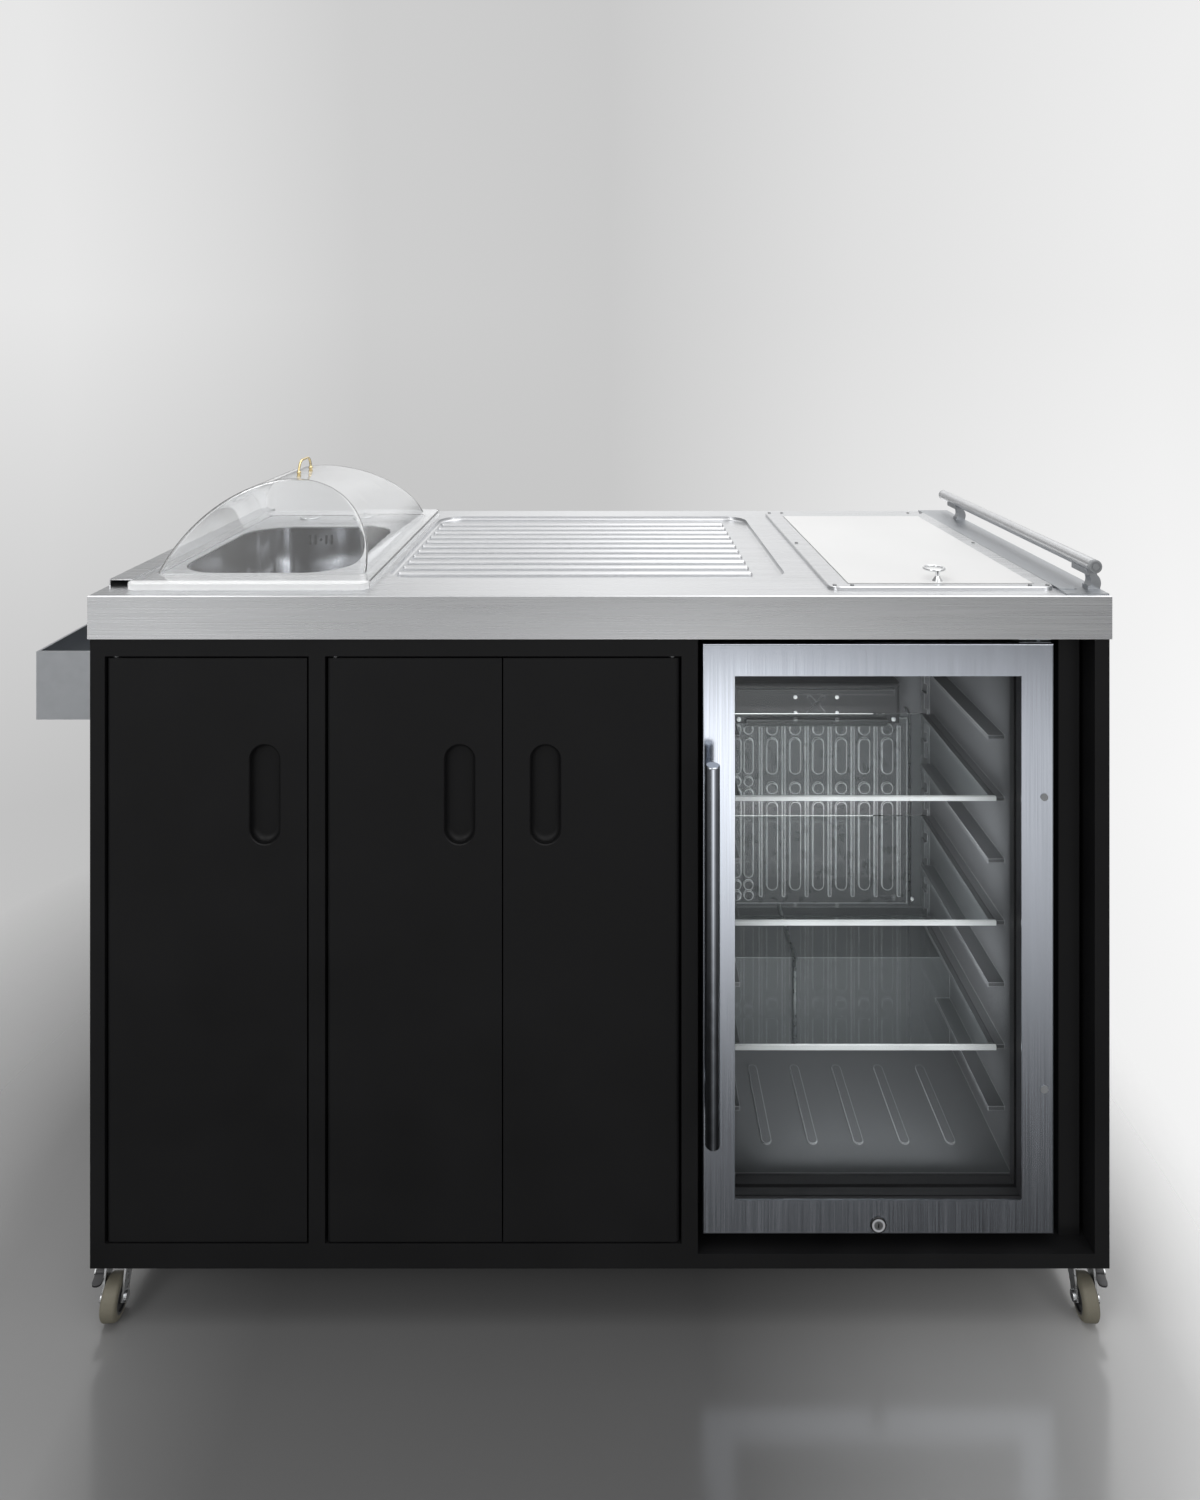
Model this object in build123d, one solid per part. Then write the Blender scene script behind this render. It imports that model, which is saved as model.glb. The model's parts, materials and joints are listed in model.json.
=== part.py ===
from build123d import *
import os

# Portable outdoor kitchenette: a three-bay cabinet on casters under a stainless worktop,
# with a covered sink, a drainboard, a lidded cold pan and a glass door refrigerator.
# Millimetres. The front faces -Y, +X is right, the floor is Z = 0, and the origin is
# the middle of the whole object's box, on the floor.

# How far from a plane an edge may be and still lie in it
TOUCH = 0.01

# Worktop
WORKTOP_LENGTH = 1394.0
WORKTOP_DEPTH = 630.0
WORKTOP_HEIGHT = 997.0
APRON_HEIGHT = 59.0
SHEET = 2.0
EDGE_RADIUS = 1.6

# Cabinet of panels
APRON_FIT = 0.5
PANEL = 20.0
DIVIDER = 22.0
BACK_PANEL = 12.0
BASE_HEIGHT = 80.0
BASE_PANEL = 20.0
LEFT_BAY = 278.0
MIDDLE_BAY = 486.0
TOP_RAIL = 24.0
BOTTOM_RAIL = 14.0
NOTCH_ROOM = 8.0
VENT_COUNT = 9
VENT_WIDTH = 300.0
VENT_SLOT = 8.0
VENT_PITCH = 32.0
VENT_BOTTOM = 180.0

# Cabinet doors with pivot pins
DOOR_THICKNESS = 20.0
DOOR_GAP = 2.6
MEETING_GAP = 2.0
PIVOT_INSET = 10.0
PIVOT_BACK = 8.0
PIVOT_PIN = 8.0
PIN_DEPTH = 10.0
PIN_END_GAP = 0.5
SWING_ROUND = 6.0
RUNNING_FIT = 0.05
MEETING_LINE = 242.0

# Recessed pulls of the cabinet doors
PULL_WIDTH = 41.0
PULL_HEIGHT = 136.0
PULL_DEPTH = 13.0
PULL_TOP = 118.0
PULL_EDGE = 37.0
PULL_FLOOR_RADIUS = 8.0
PULL_LIP = 1.2

# Strip beside the refrigerator
FILLER_WIDTH = 29.0
FILLER_THICKNESS = 16.0
FILLER_GAP = 8.0
FILLER_SETBACK = 29.0

# Sink bowl, waste and tap hole plugs
BOWL_WIDTH = 260.0
BOWL_LENGTH = 350.0
BOWL_DEPTH = 150.0
BOWL_CORNER = 70.0
BOWL_FLOOR_RADIUS = 22.0
BOWL_FLANGE = 12.0
BOWL_LEFT = 55.0
BOWL_FRONT = 125.0
OVERFLOW_WIDTH = 5.0
OVERFLOW_HEIGHT = 18.0
OVERFLOW_DROP = 15.0
OVERFLOW_SIDE = 12.0
OVERFLOW_PLACES = (-20.0, -10.0, 10.0, 20.0)
OVERFLOW_SPOT = 6.0
WASTE_FLANGE = 84.0
WASTE_FLANGE_HEIGHT = 2.5
WASTE_BODY = 60.0
WASTE_BODY_HEIGHT = 46.0
TAILPIECE = 40.0
TAILPIECE_HEIGHT = 45.0
TAILPIECE_WALL = 2.5
WASTE_FIT = 0.5
GRID_HOLES = 6
GRID_HOLE = 9.0
GRID_CIRCLE = 22.0
TAP_PLUG = 38.0
TAP_PLUG_HEIGHT = 3.0
TAP_PLUG_STEM = 30.0
TAP_PLUG_STEM_HEIGHT = 9.0
TAP_PLUG_SPACING = 104.0
TAP_PLUG_SHIFT = -7.0
TAP_PLUG_BACK = 85.0

# Drainboard pressed into the worktop
DRAIN_LEFT = 382.0
DRAIN_WIDTH = 590.0
DRAIN_FRONT = 96.0
DRAIN_LENGTH = 474.0
DRAIN_DEPTH = 7.0
DRAIN_CORNER = 40.0
DRAIN_ROUND = 4.0
RIB_COUNT = 11
RIB_WIDTH = 12.0
RIB_HEIGHT = 5.5
RIB_ROUND = 4.5
RIB_LENGTH = 536.0
RIB_LEFT = 8.0
RIB_FIRST = 44.0
RIB_PITCH = 36.9

# Channel along the worktop's left edge
CHANNEL_WIDTH = 32.0
CHANNEL_HEIGHT = 9.0
CHANNEL_WALL = 1.5
CHANNEL_FRONT = 54.0

# Clear sink cover
COVER_WIDTH = 338.0
COVER_LENGTH = 568.0
COVER_LEFT = 36.0
COVER_FRONT = 26.5
COVER_WALL = 3.0
COVER_RIM_HEIGHT = 10.0
COVER_RIM_CORNER = 14.0
COVER_RIM_ROUND = 2.5
DOME_SIDE_INSET = 18.0
DOME_END_INSET = 40.0
DOME_HEIGHT = 125.0
DOME_END_SLOPE = 160.0
DOME_EDGE_RADIUS = 10.0
REST_GAP = 0.3
BAIL_FORWARD = 28.0
BAIL_SPAN = 60.0
BAIL_ROD = 4.0
BAIL_POST = 7.0
BAIL_POST_HEIGHT = 6.0
BAIL_RISE = 19.0
BAIL_CORNER = 18.0
BAIL_FOOT = 2.0

# Cold pan, bezel and white lid
BEZEL_LEFT = 1017.0
BEZEL_WIDTH = 315.0
BEZEL_FORWARD = 5.0
BEZEL_LENGTH = 560.0
BEZEL_HEIGHT = 4.5
BEZEL_CORNER = 16.0
BEZEL_CHAMFER = 1.0
LID_LEFT = 30.0
LID_RIGHT = 25.0
LID_FRONT = 17.0
LID_BACK = 42.0
LID_THICKNESS = 5.0
LID_GAP = 1.5
LID_LEDGE = 12.0
PAN_DEPTH = 44.0
PAN_CORNER = 14.0
PAN_FLOOR_RADIUS = 8.0
PAN_FLANGE = 10.0
LID_PIN = 2.0
LID_PIN_DEPTH = 9.0
BEZEL_SCREW = 5.5
BEZEL_SCREW_HEIGHT = 1.4
BEZEL_SCREW_INSET = 8.5
BEZEL_SCREWS_SIDE = 3
BEZEL_SCREW_CORNER = 33.0
KNOB_BACK = 14.0
KNOB_BASE = 15.0
KNOB_NECK = 6.0
KNOB_HEIGHT = 14.0
RING_RADIUS = 14.0
RING_ROD = 4.0

# Push handle on the right
PLATE_LEFT = 1334.0
PLATE_RIGHT = 2.0
PLATE_FRONT = 4.0
PLATE_HEIGHT = 2.0
PAD_WIDTH = 27.0
PAD_FRONT = 22.0
PAD_LENGTH = 420.0
PAD_RISE = 1.2
PAD_CORNER = 8.0
TUBE_DIAMETER = 19.0
TUBE_FRONT = 27.0
TUBE_LENGTH = 590.0
TUBE_RIGHT = 11.0
TUBE_RISE = 34.0
TUBE_WALL = 1.5
CAP_LENGTH = 5.0
CAP_PLUG = 12.0
CAP_ROUND = 2.0
CAP_GROOVE = 13.0
CAP_GROOVE_WIDTH = 2.0
CAP_GROOVE_DEPTH = 0.8
BRACKET_FRONT = 9.0
BRACKET_BACK = 81.0
BRACKET_WIDTH = 16.0
BRACKET_TOP = 9.5
BRACKET_FOOT = 17.0
BRACKET_FOOT_HEIGHT = 4.0
BRACKET_BOW = 5.0
SADDLE_LENGTH = 44.0
SADDLE_DROP = 3.0

# Rack on the left side
RACK_REACH = 108.0
RACK_BOTTOM = 803.0
RACK_HEIGHT = 97.0
RACK_LENGTH = 470.0
RACK_FRONT = 64.0
RACK_SHEET = 2.0
RACK_HEM = 7.0
RACK_SCREWS = 4
RACK_SCREW = 10.0
RACK_SCREW_HEIGHT = 2.5
RACK_SCREW_DROP = 24.0

# Refrigerator
FRIDGE_SIDE_GAP = 6.5
FRIDGE_WIDTH = 483.0
FRIDGE_FRONT = 10.0
FRIDGE_DEPTH = 430.0
FRIDGE_FOOT = 15.0
FRIDGE_HEIGHT = 816.0
FRIDGE_WALL = 36.0
FRIDGE_FLOOR = 42.0
FRIDGE_ROOF = 44.0
FRIDGE_BACK = 45.0
MACHINE_HEIGHT = 162.0
MACHINE_DEPTH = 160.0
MACHINE_PLATE = 3.0
STEP_WALL = 25.0
LINER = 2.0
RUNNER_COUNT = 7
RUNNER_FIRST = 73.0
RUNNER_PITCH = 89.5
RUNNER_WIDTH = 24.0
RUNNER_HEIGHT = 6.0
RUNNER_LENGTH = 300.0
RUNNER_FRONT = 22.0
FLOOR_RIBS = 5
FLOOR_RIB_WIDTH = 14.0
FLOOR_RIB_HEIGHT = 2.0
FLOOR_RIB_LENGTH = 150.0
FLOOR_RIB_PITCH = 68.0
SHELF_RUNNERS = (1, 3, 5)
SHELF_GLASS = 4.0
SHELF_DEPTH = 300.0
SHELF_FRONT = 16.0
SHELF_SIDE_GAP = 16.0
TRIM_HEIGHT = 6.0
TRIM_DEPTH = 4.0
POST_BACK = 30.0
POST_DEPTH = 18.0
POST_RISE = 4.0
POST_TOOTH_RISE = 9.0
POST_TOOTH_HEIGHT = 28.0
EVAPORATOR_WIDTH = 350.0
EVAPORATOR_HEIGHT = 338.0
EVAPORATOR_BOTTOM = 156.0
EVAPORATOR_SHEET = 3.0
EMBOSS_RISE = 4.0
UPPER_CHANNELS = (237.0, 302.0)
UPPER_DOTS = 318.0
NARROW_COLUMNS = 3
NARROW_FIRST = 16.0
NARROW_PITCH = 22.0
NARROW_WIDTH = 17.0
NARROW_CHANNELS = (49.0, 210.0)
NARROW_DOTS = (223.0, 35.0, 16.0)
WIDE_COLUMNS = 6
WIDE_FIRST = 103.0
WIDE_PITCH = 42.0
WIDE_WIDTH = 20.0
WIDE_CHANNELS = (26.0, 189.0)
WIDE_DOTS = (211.0,)
RIDGE_WIDTH = 5.0
RIDGE_SPAN = (14.0, 324.0)
FAN_WIDTH = 300.0
FAN_HEIGHT = 76.0
FAN_DEPTH = 44.0
FAN_DROP = 154.0
FAN_RADIUS = 8.0
FAN_BAR_WIDTH = 276.0
FAN_BAR_HEIGHT = 9.0
FAN_BAR_DROP = 9.0
FAN_BAR_RISE = 5.0
FAN_LIP_WIDTH = 250.0
FAN_LIP_HEIGHT = 12.0
FAN_LIP_RISE = 8.0
FAN_CROSS_LENGTH = 44.0
FAN_CROSS_WIDTH = 8.0
FAN_CROSS_RISE = 2.0
FAN_CROSS_TURN = 48.0
FAN_CROSS_DROP = 38.0
COMPRESSOR_RADIUS = 58.0
COMPRESSOR_HEIGHT = 118.0
COMPRESSOR_ROUND = 26.0
COMPRESSOR_FEET = 16.0
COMPRESSOR_BASE = 4.0
COMPRESSOR_BACK = 82.0
FOOT_DIAMETER = 30.0
FOOT_INSET = 40.0

# Refrigerator door
FRIDGE_DOOR_THICKNESS = 40.0
FRIDGE_DOOR_BOTTOM = 3.6
FRIDGE_DOOR_TOP = 1.7
STILE = 45.0
GLASS_RAIL_TOP = 45.0
GLASS_RAIL_BOTTOM = 48.0
FRAME_FACE = 6.0
DOOR_SKIN = 2.0
GLASS_OVERLAP = 10.0
PANE = 4.0
PANE_GAP = 12.0
SPACER = 8.0
GLASS_FIT = 0.2
FRAME_RADIUS = 3.0
GASKET = 12.0
GASKET_WIDTH = 14.0
GASKET_INSET = 16.0
GASKET_GAP = 0.4
FRIDGE_PIVOT_INSET = 14.0
FRIDGE_PIN = 8.0
FRIDGE_PIN_DEPTH = 15.0
HINGE_PLATE = 3.0
HINGE_WIDTH = 44.0
HINGE_BACK = 20.0
HINGE_FRONT = 10.0
HANDLE_LEFT = 10.5
HANDLE_DIAMETER = 20.0
HANDLE_BOTTOM = 154.0
HANDLE_LENGTH = 507.0
HANDLE_ROUND = 2.0
HANDLE_STANDOFF = 47.0
HANDLE_POST = 10.0
HANDLE_POST_INSET = 46.0
LOCK_RISE = 14.5
LOCK_HOUSING = 22.0
LOCK_BARREL = 12.0
LOCK_DEPTH = 24.0
LOCK_PROUD = 2.0
KEYWAY_WIDTH = 1.6
KEYWAY_HEIGHT = 6.0
KEYWAY_DEPTH = 8.0
HOLE_PLUG = 10.0
HOLE_PLUG_DEPTH = 8.0
HOLE_PLUG_PROUD = 1.0
HOLE_PLUG_INSET = 14.0
HOLE_PLUG_HEIGHTS = (200.0, 600.0)

# Casters
CASTER_SIDE_INSET = 24.0
CASTER_FRONT_INSET = 38.0
CASTER_REAR_INSET = 56.0
CASTER_PLATE = 46.0
CASTER_PLATE_HEIGHT = 3.0
CASTER_PLATE_CORNER = 6.0
CASTER_RACE = 34.0
CASTER_RACE_HEIGHT = 4.0
KINGPIN = 10.0
KINGPIN_HEAD = 16.0
KINGPIN_HEAD_HEIGHT = 3.0
CROWN = 40.0
CROWN_HEIGHT = 5.0
CROWN_GAP = 0.4
CASTER_TRAIL = 22.0
WHEEL_DIAMETER = 52.0
WHEEL_WIDTH = 22.0
WHEEL_ROUND = 5.0
HUB_DIAMETER = 32.0
HUB_DISH = 3.0
HUB_BOSS = 16.0
WHEEL_SIDE_GAP = 1.0
CHEEK = 2.5
CHEEK_EYE = 10.0
CHEEK_TOP = 17.0
AXLE = 8.0
AXLE_HEAD = 13.0
AXLE_HEAD_HEIGHT = 3.0
PEDAL_FORWARD = 14.0
PEDAL_RISE = 28.0
PEDAL_PIN = 4.0
PEDAL_PIN_HEAD = 7.0
PEDAL_PIN_HEAD_HEIGHT = 1.5
PEDAL_SIDE_GAP = 0.4
PEDAL_EYE = 9.0
PEDAL_LENGTH = 18.0
PEDAL_WIDTH = 13.0
PEDAL_THICKNESS = 3.0
PEDAL_CORNER = 5.0
PEDAL_DROOP = 12.0
CASTER_HEADINGS = {"front_left": 4.0, "front_right": -4.0, "rear_left": 60.0, "rear_right": -65.0}
BRAKE_SIDES = {"front_left": -1, "front_right": 1}

# Places worked out from the sizes
handle_reach = HANDLE_STANDOFF - FRIDGE_FRONT
worktop_right = (WORKTOP_LENGTH + RACK_REACH) / 2
worktop_left = worktop_right - WORKTOP_LENGTH
worktop_back = (WORKTOP_DEPTH + handle_reach) / 2
worktop_front = worktop_back - WORKTOP_DEPTH
sheet_under = WORKTOP_HEIGHT - SHEET
apron_bottom = WORKTOP_HEIGHT - APRON_HEIGHT
cabinet_left = worktop_left + SHEET + APRON_FIT
cabinet_right = worktop_right - SHEET - APRON_FIT
cabinet_front = worktop_front + SHEET + APRON_FIT
cabinet_back = worktop_back - SHEET - APRON_FIT
back_inside = cabinet_back - BACK_PANEL
floor_top = BASE_HEIGHT + BASE_PANEL
left_bay = (cabinet_left + PANEL, cabinet_left + PANEL + LEFT_BAY)
middle_bay = (left_bay[1] + DIVIDER, left_bay[1] + DIVIDER + MIDDLE_BAY)
fridge_bay = (middle_bay[1] + DIVIDER, cabinet_right - PANEL)
rail_under = apron_bottom - TOP_RAIL
rail_over = floor_top + BOTTOM_RAIL
door_bottom = rail_over + DOOR_GAP
door_top = rail_under - DOOR_GAP
door_split = middle_bay[0] + MEETING_LINE
pivot_y = cabinet_front + PIVOT_BACK
bowl_x = worktop_left + BOWL_LEFT + BOWL_WIDTH / 2
bowl_y = worktop_front + BOWL_FRONT + BOWL_LENGTH / 2
bowl_under = WORKTOP_HEIGHT - BOWL_DEPTH - SHEET
cover_x = worktop_left + COVER_LEFT + COVER_WIDTH / 2
cover_y = worktop_front + COVER_FRONT + COVER_LENGTH / 2
cover_bottom = WORKTOP_HEIGHT + REST_GAP
bezel_x = worktop_left + BEZEL_LEFT + BEZEL_WIDTH / 2
bezel_y = (worktop_front + worktop_back) / 2 - BEZEL_FORWARD
lid_width = BEZEL_WIDTH - LID_LEFT - LID_RIGHT
lid_length = BEZEL_LENGTH - LID_FRONT - LID_BACK
lid_x = worktop_left + BEZEL_LEFT + LID_LEFT + lid_width / 2
lid_y = bezel_y - BEZEL_LENGTH / 2 + LID_FRONT + lid_length / 2
lid_bottom = WORKTOP_HEIGHT + REST_GAP
lid_top = lid_bottom + LID_THICKNESS
lid_pivot_y = lid_y + lid_length / 2 - LID_THICKNESS / 2
lid_pivot_z = lid_bottom + LID_THICKNESS / 2
fridge_left = fridge_bay[0] + FRIDGE_SIDE_GAP
fridge_right = fridge_left + FRIDGE_WIDTH
fridge_bottom = floor_top + FRIDGE_FOOT
fridge_top = fridge_bottom + FRIDGE_HEIGHT
fridge_door_front = worktop_front + FRIDGE_FRONT
fridge_door_back = fridge_door_front + FRIDGE_DOOR_THICKNESS
fridge_front = fridge_door_back + GASKET
fridge_back = fridge_front + FRIDGE_DEPTH
fridge_door_bottom = fridge_bottom + FRIDGE_DOOR_BOTTOM
fridge_door_top = fridge_top - FRIDGE_DOOR_TOP
fridge_pivot_x = fridge_right - FRIDGE_PIVOT_INSET
fridge_pivot_y = fridge_door_front + FRIDGE_DOOR_THICKNESS / 2
inside_left = fridge_left + FRIDGE_WALL
inside_right = fridge_right - FRIDGE_WALL
inside_bottom = fridge_bottom + FRIDGE_FLOOR
inside_top = fridge_top - FRIDGE_ROOF
inside_back = fridge_back - FRIDGE_BACK
step_front = fridge_back - MACHINE_DEPTH - STEP_WALL
step_top = fridge_bottom + MACHINE_HEIGHT + STEP_WALL
glass_left = fridge_left + STILE
glass_right = fridge_right - STILE
glass_bottom = fridge_door_bottom + GLASS_RAIL_BOTTOM
glass_top = fridge_door_top - GLASS_RAIL_TOP
axle_z = WHEEL_DIAMETER / 2
fork_half = WHEEL_WIDTH / 2 + WHEEL_SIDE_GAP + CHEEK
tap_y = bowl_y + BOWL_LENGTH / 2 + TAP_PLUG_BACK
tube_x = worktop_right - TUBE_RIGHT
tube_z = WORKTOP_HEIGHT + TUBE_RISE
tube_span = (worktop_front + TUBE_FRONT, worktop_front + TUBE_FRONT + TUBE_LENGTH)
rack_front = worktop_front + RACK_FRONT
pane_front = fridge_door_front + FRAME_FACE
pane_back = pane_front + 2 * PANE + PANE_GAP
lock_x = (fridge_left + fridge_right) / 2
lock_z = fridge_door_bottom + LOCK_RISE
plate_under = BASE_HEIGHT - CASTER_PLATE_HEIGHT
crown_top = plate_under - CASTER_RACE_HEIGHT - CROWN_GAP
crown_under = crown_top - CROWN_HEIGHT


def block(x, y, z):
    """A box between two places on each axis."""
    size = Box(x[1] - x[0], y[1] - y[0], z[1] - z[0])
    return Pos((x[0] + x[1]) / 2, (y[0] + y[1]) / 2, (z[0] + z[1]) / 2) * size


def slab(x, y, width, length, z, corner):
    """A flat plate with round corners, between two heights."""
    return extrude(Pos(x, y, z[0]) * RectangleRounded(width, length, corner), z[1] - z[0])


def rod_x(x, y, z, diameter):
    return Pos((x[0] + x[1]) / 2, y, z) * Rot(0, 90, 0) * Cylinder(diameter / 2, x[1] - x[0])


def rod_y(x, y, z, diameter):
    return Pos(x, (y[0] + y[1]) / 2, z) * Rot(90, 0, 0) * Cylinder(diameter / 2, y[1] - y[0])


def rod_z(x, y, z, diameter):
    return Pos(x, y, (z[0] + z[1]) / 2) * Cylinder(diameter / 2, z[1] - z[0])


def edges_at(shape, axis, place):
    """The edges of a shape that lie in one plane across an axis."""
    return shape.edges().filter_by_position(axis, place - TOUCH, place + TOUCH)


def save(name, *solids):
    """Write one node, a single solid or a group of them."""
    shape = solids[0] if len(solids) == 1 else Compound(children=list(solids))
    export_step(shape, f"parts/{name}.step")


# Cabinet

def base_panel():
    return block((cabinet_left, cabinet_right), (cabinet_front, cabinet_back), (BASE_HEIGHT, floor_top))


def side_panel(outer, inner):
    span = (min(outer, inner), max(outer, inner))
    return block(span, (cabinet_front, back_inside), (floor_top, sheet_under))


def divider(bay_end):
    span = (bay_end, bay_end + DIVIDER)
    return block(span, (cabinet_front, back_inside), (floor_top, apron_bottom))


def sink_bay_divider():
    """The divider beside the sink, notched round the bowl that overhangs it."""
    half = BOWL_LENGTH / 2 + BOWL_FLANGE + NOTCH_ROOM
    notch = block((left_bay[1], middle_bay[0]), (bowl_y - half, bowl_y + half),
                  (bowl_under - NOTCH_ROOM, apron_bottom))
    return divider(left_bay[1]) - notch


def back_panel():
    """The rear wall, with air slots behind the refrigerator."""
    panel = block((cabinet_left, cabinet_right), (back_inside, cabinet_back), (floor_top, sheet_under))
    middle = (fridge_left + fridge_right) / 2
    span = (middle - VENT_WIDTH / 2, middle + VENT_WIDTH / 2)
    for row in range(VENT_COUNT):
        low = VENT_BOTTOM + row * VENT_PITCH
        panel -= block(span, (back_inside, cabinet_back), (low, low + VENT_SLOT))
    return panel


def door_pivots():
    """The x of each cabinet door's pivot: left, middle left and middle right."""
    return (left_bay[0] + DOOR_GAP + PIVOT_INSET, middle_bay[0] + DOOR_GAP + PIVOT_INSET,
            middle_bay[1] - DOOR_GAP - PIVOT_INSET)


def rail(bay, z, pin_end):
    """One rail of the front frame, bored for the pivot pins of its doors."""
    body = block(bay, (cabinet_front, cabinet_front + PANEL), z)
    for x in door_pivots():
        if bay[0] < x < bay[1]:
            body -= rod_z(x, pivot_y, pin_end, PIVOT_PIN + 2 * RUNNING_FIT)
    return body


def front_rails():
    """The rails over and under the doors of the left and the middle bay."""
    bays = (left_bay, middle_bay)
    upper = [rail(bay, (rail_under, apron_bottom), (rail_under, rail_under + PIN_DEPTH)) for bay in bays]
    lower = [rail(bay, (floor_top, rail_over), (rail_over - PIN_DEPTH, rail_over)) for bay in bays]
    return upper + lower


def door_pivot_pins():
    pins = []
    for x in door_pivots():
        pins.append(rod_z(x, pivot_y, (door_top - PIN_DEPTH, rail_under + PIN_DEPTH), PIVOT_PIN))
        pins.append(rod_z(x, pivot_y, (rail_over - PIN_DEPTH, door_bottom + PIN_DEPTH), PIVOT_PIN))
    return pins


def niche_filler_strip():
    right = fridge_bay[1] - FILLER_GAP
    front = worktop_front + FILLER_SETBACK
    return block((right - FILLER_WIDTH, right), (front, front + FILLER_THICKNESS), (floor_top, sheet_under))


def pull_pocket(x):
    """The stadium pocket that fingers go into, with a rounded floor."""
    z = door_top - PULL_TOP - PULL_HEIGHT / 2
    outline = Plane.XZ * Pos(x, z) * SlotOverall(PULL_HEIGHT, PULL_WIDTH, rotation=90)
    pocket = Pos(0, cabinet_front, 0) * extrude(outline, -PULL_DEPTH)
    return fillet(edges_at(pocket, Axis.Y, cabinet_front + PULL_DEPTH), PULL_FLOOR_RADIUS)


def cabinet_door(x, hinge, pull_x):
    """A flush door: pivots near its hinged edge, whose front corner is rounded to swing."""
    panel = block(x, (cabinet_front, cabinet_front + DOOR_THICKNESS), (door_bottom, door_top))
    hinge_edge = x[0] if hinge < (x[0] + x[1]) / 2 else x[1]
    upright = edges_at(panel, Axis.Y, cabinet_front).filter_by(Axis.Z)
    panel = fillet(edges_at(ShapeList(upright), Axis.X, hinge_edge), SWING_ROUND)
    bore = PIVOT_PIN + 2 * RUNNING_FIT
    depth = PIN_DEPTH + PIN_END_GAP
    panel -= rod_z(hinge, pivot_y, (door_bottom, door_bottom + depth), bore)
    panel -= rod_z(hinge, pivot_y, (door_top - depth, door_top), bore)
    panel -= pull_pocket(pull_x)
    beside_pull = edges_at(panel, Axis.Y, cabinet_front).filter_by_position(
        Axis.X, pull_x - PULL_WIDTH / 2 - TOUCH, pull_x + PULL_WIDTH / 2 + TOUCH)
    lip = beside_pull.filter_by_position(Axis.Z, door_bottom + TOUCH, door_top - TOUCH)
    return chamfer(lip, PULL_LIP)


def cabinet_doors():
    left, middle_left, middle_right = door_pivots()
    pull = PULL_EDGE + PULL_WIDTH / 2
    spans = ((left_bay[0] + DOOR_GAP, left_bay[1] - DOOR_GAP),
             (middle_bay[0] + DOOR_GAP, door_split - MEETING_GAP / 2),
             (door_split + MEETING_GAP / 2, middle_bay[1] - DOOR_GAP))
    return {"left_door": cabinet_door(spans[0], left, spans[0][1] - pull),
            "middle_left_door": cabinet_door(spans[1], middle_left, spans[1][1] - pull),
            "middle_right_door": cabinet_door(spans[2], middle_right, spans[2][0] + pull)}


# Worktop and sink

def worktop():
    """A tray of sheet turned upside down, with the drainboard pressed in and its holes cut."""
    body = block((worktop_left, worktop_right), (worktop_front, worktop_back), (apron_bottom, WORKTOP_HEIGHT))
    body = fillet(edges_at(body, Axis.Z, WORKTOP_HEIGHT), EDGE_RADIUS)
    body -= block((worktop_left + SHEET, worktop_right - SHEET),
                  (worktop_front + SHEET, worktop_back - SHEET), (apron_bottom, sheet_under))
    x = worktop_left + DRAIN_LEFT + DRAIN_WIDTH / 2
    y = worktop_front + DRAIN_FRONT + DRAIN_LENGTH / 2
    floor = WORKTOP_HEIGHT - DRAIN_DEPTH
    body += slab(x, y, DRAIN_WIDTH + 2 * SHEET, DRAIN_LENGTH + 2 * SHEET, (floor - SHEET, sheet_under),
                 DRAIN_CORNER + SHEET)
    body -= drain_recess(x, y, floor)
    for index in range(RIB_COUNT):
        body += drain_rib(index, floor)
    body -= slab(bowl_x, bowl_y, BOWL_WIDTH, BOWL_LENGTH, (sheet_under, WORKTOP_HEIGHT), BOWL_CORNER)
    body -= slab(lid_x, lid_y, *pan_opening(), (sheet_under, WORKTOP_HEIGHT), PAN_CORNER)
    for hole_x in tap_places():
        body -= rod_z(hole_x, tap_y, (sheet_under, WORKTOP_HEIGHT), TAP_PLUG_STEM + 2 * WASTE_FIT)
    return body


def drain_recess(x, y, floor):
    """The hollow of the drainboard, with a pressed round at its floor."""
    hollow = slab(x, y, DRAIN_WIDTH, DRAIN_LENGTH, (floor, WORKTOP_HEIGHT), DRAIN_CORNER)
    return fillet(edges_at(hollow, Axis.Z, floor), DRAIN_ROUND)


def drain_rib(index, floor):
    """One raised rib of the drainboard, round on top."""
    x = worktop_left + DRAIN_LEFT + RIB_LEFT + RIB_LENGTH / 2
    y = worktop_front + DRAIN_FRONT + RIB_FIRST + index * RIB_PITCH
    outline = Pos(x, y, floor) * SlotOverall(RIB_LENGTH, RIB_WIDTH)
    rib = extrude(outline, RIB_HEIGHT)
    return fillet(edges_at(rib, Axis.Z, floor + RIB_HEIGHT), RIB_ROUND)


def tap_places():
    middle = bowl_x + TAP_PLUG_SHIFT
    return (middle - TAP_PLUG_SPACING / 2, middle + TAP_PLUG_SPACING / 2)


def pan_opening():
    """Width and length of the cold pan inside, within the ledge that the lid lies on."""
    return (lid_width + 2 * LID_GAP - 2 * LID_LEDGE, lid_length + 2 * LID_GAP - 2 * LID_LEDGE)


def basin(x, y, width, length, z, corner, floor_radius):
    """A block with round corners and a round lower edge."""
    body = slab(x, y, width, length, z, corner)
    return fillet(edges_at(body, Axis.Z, z[0]), floor_radius)


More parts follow.
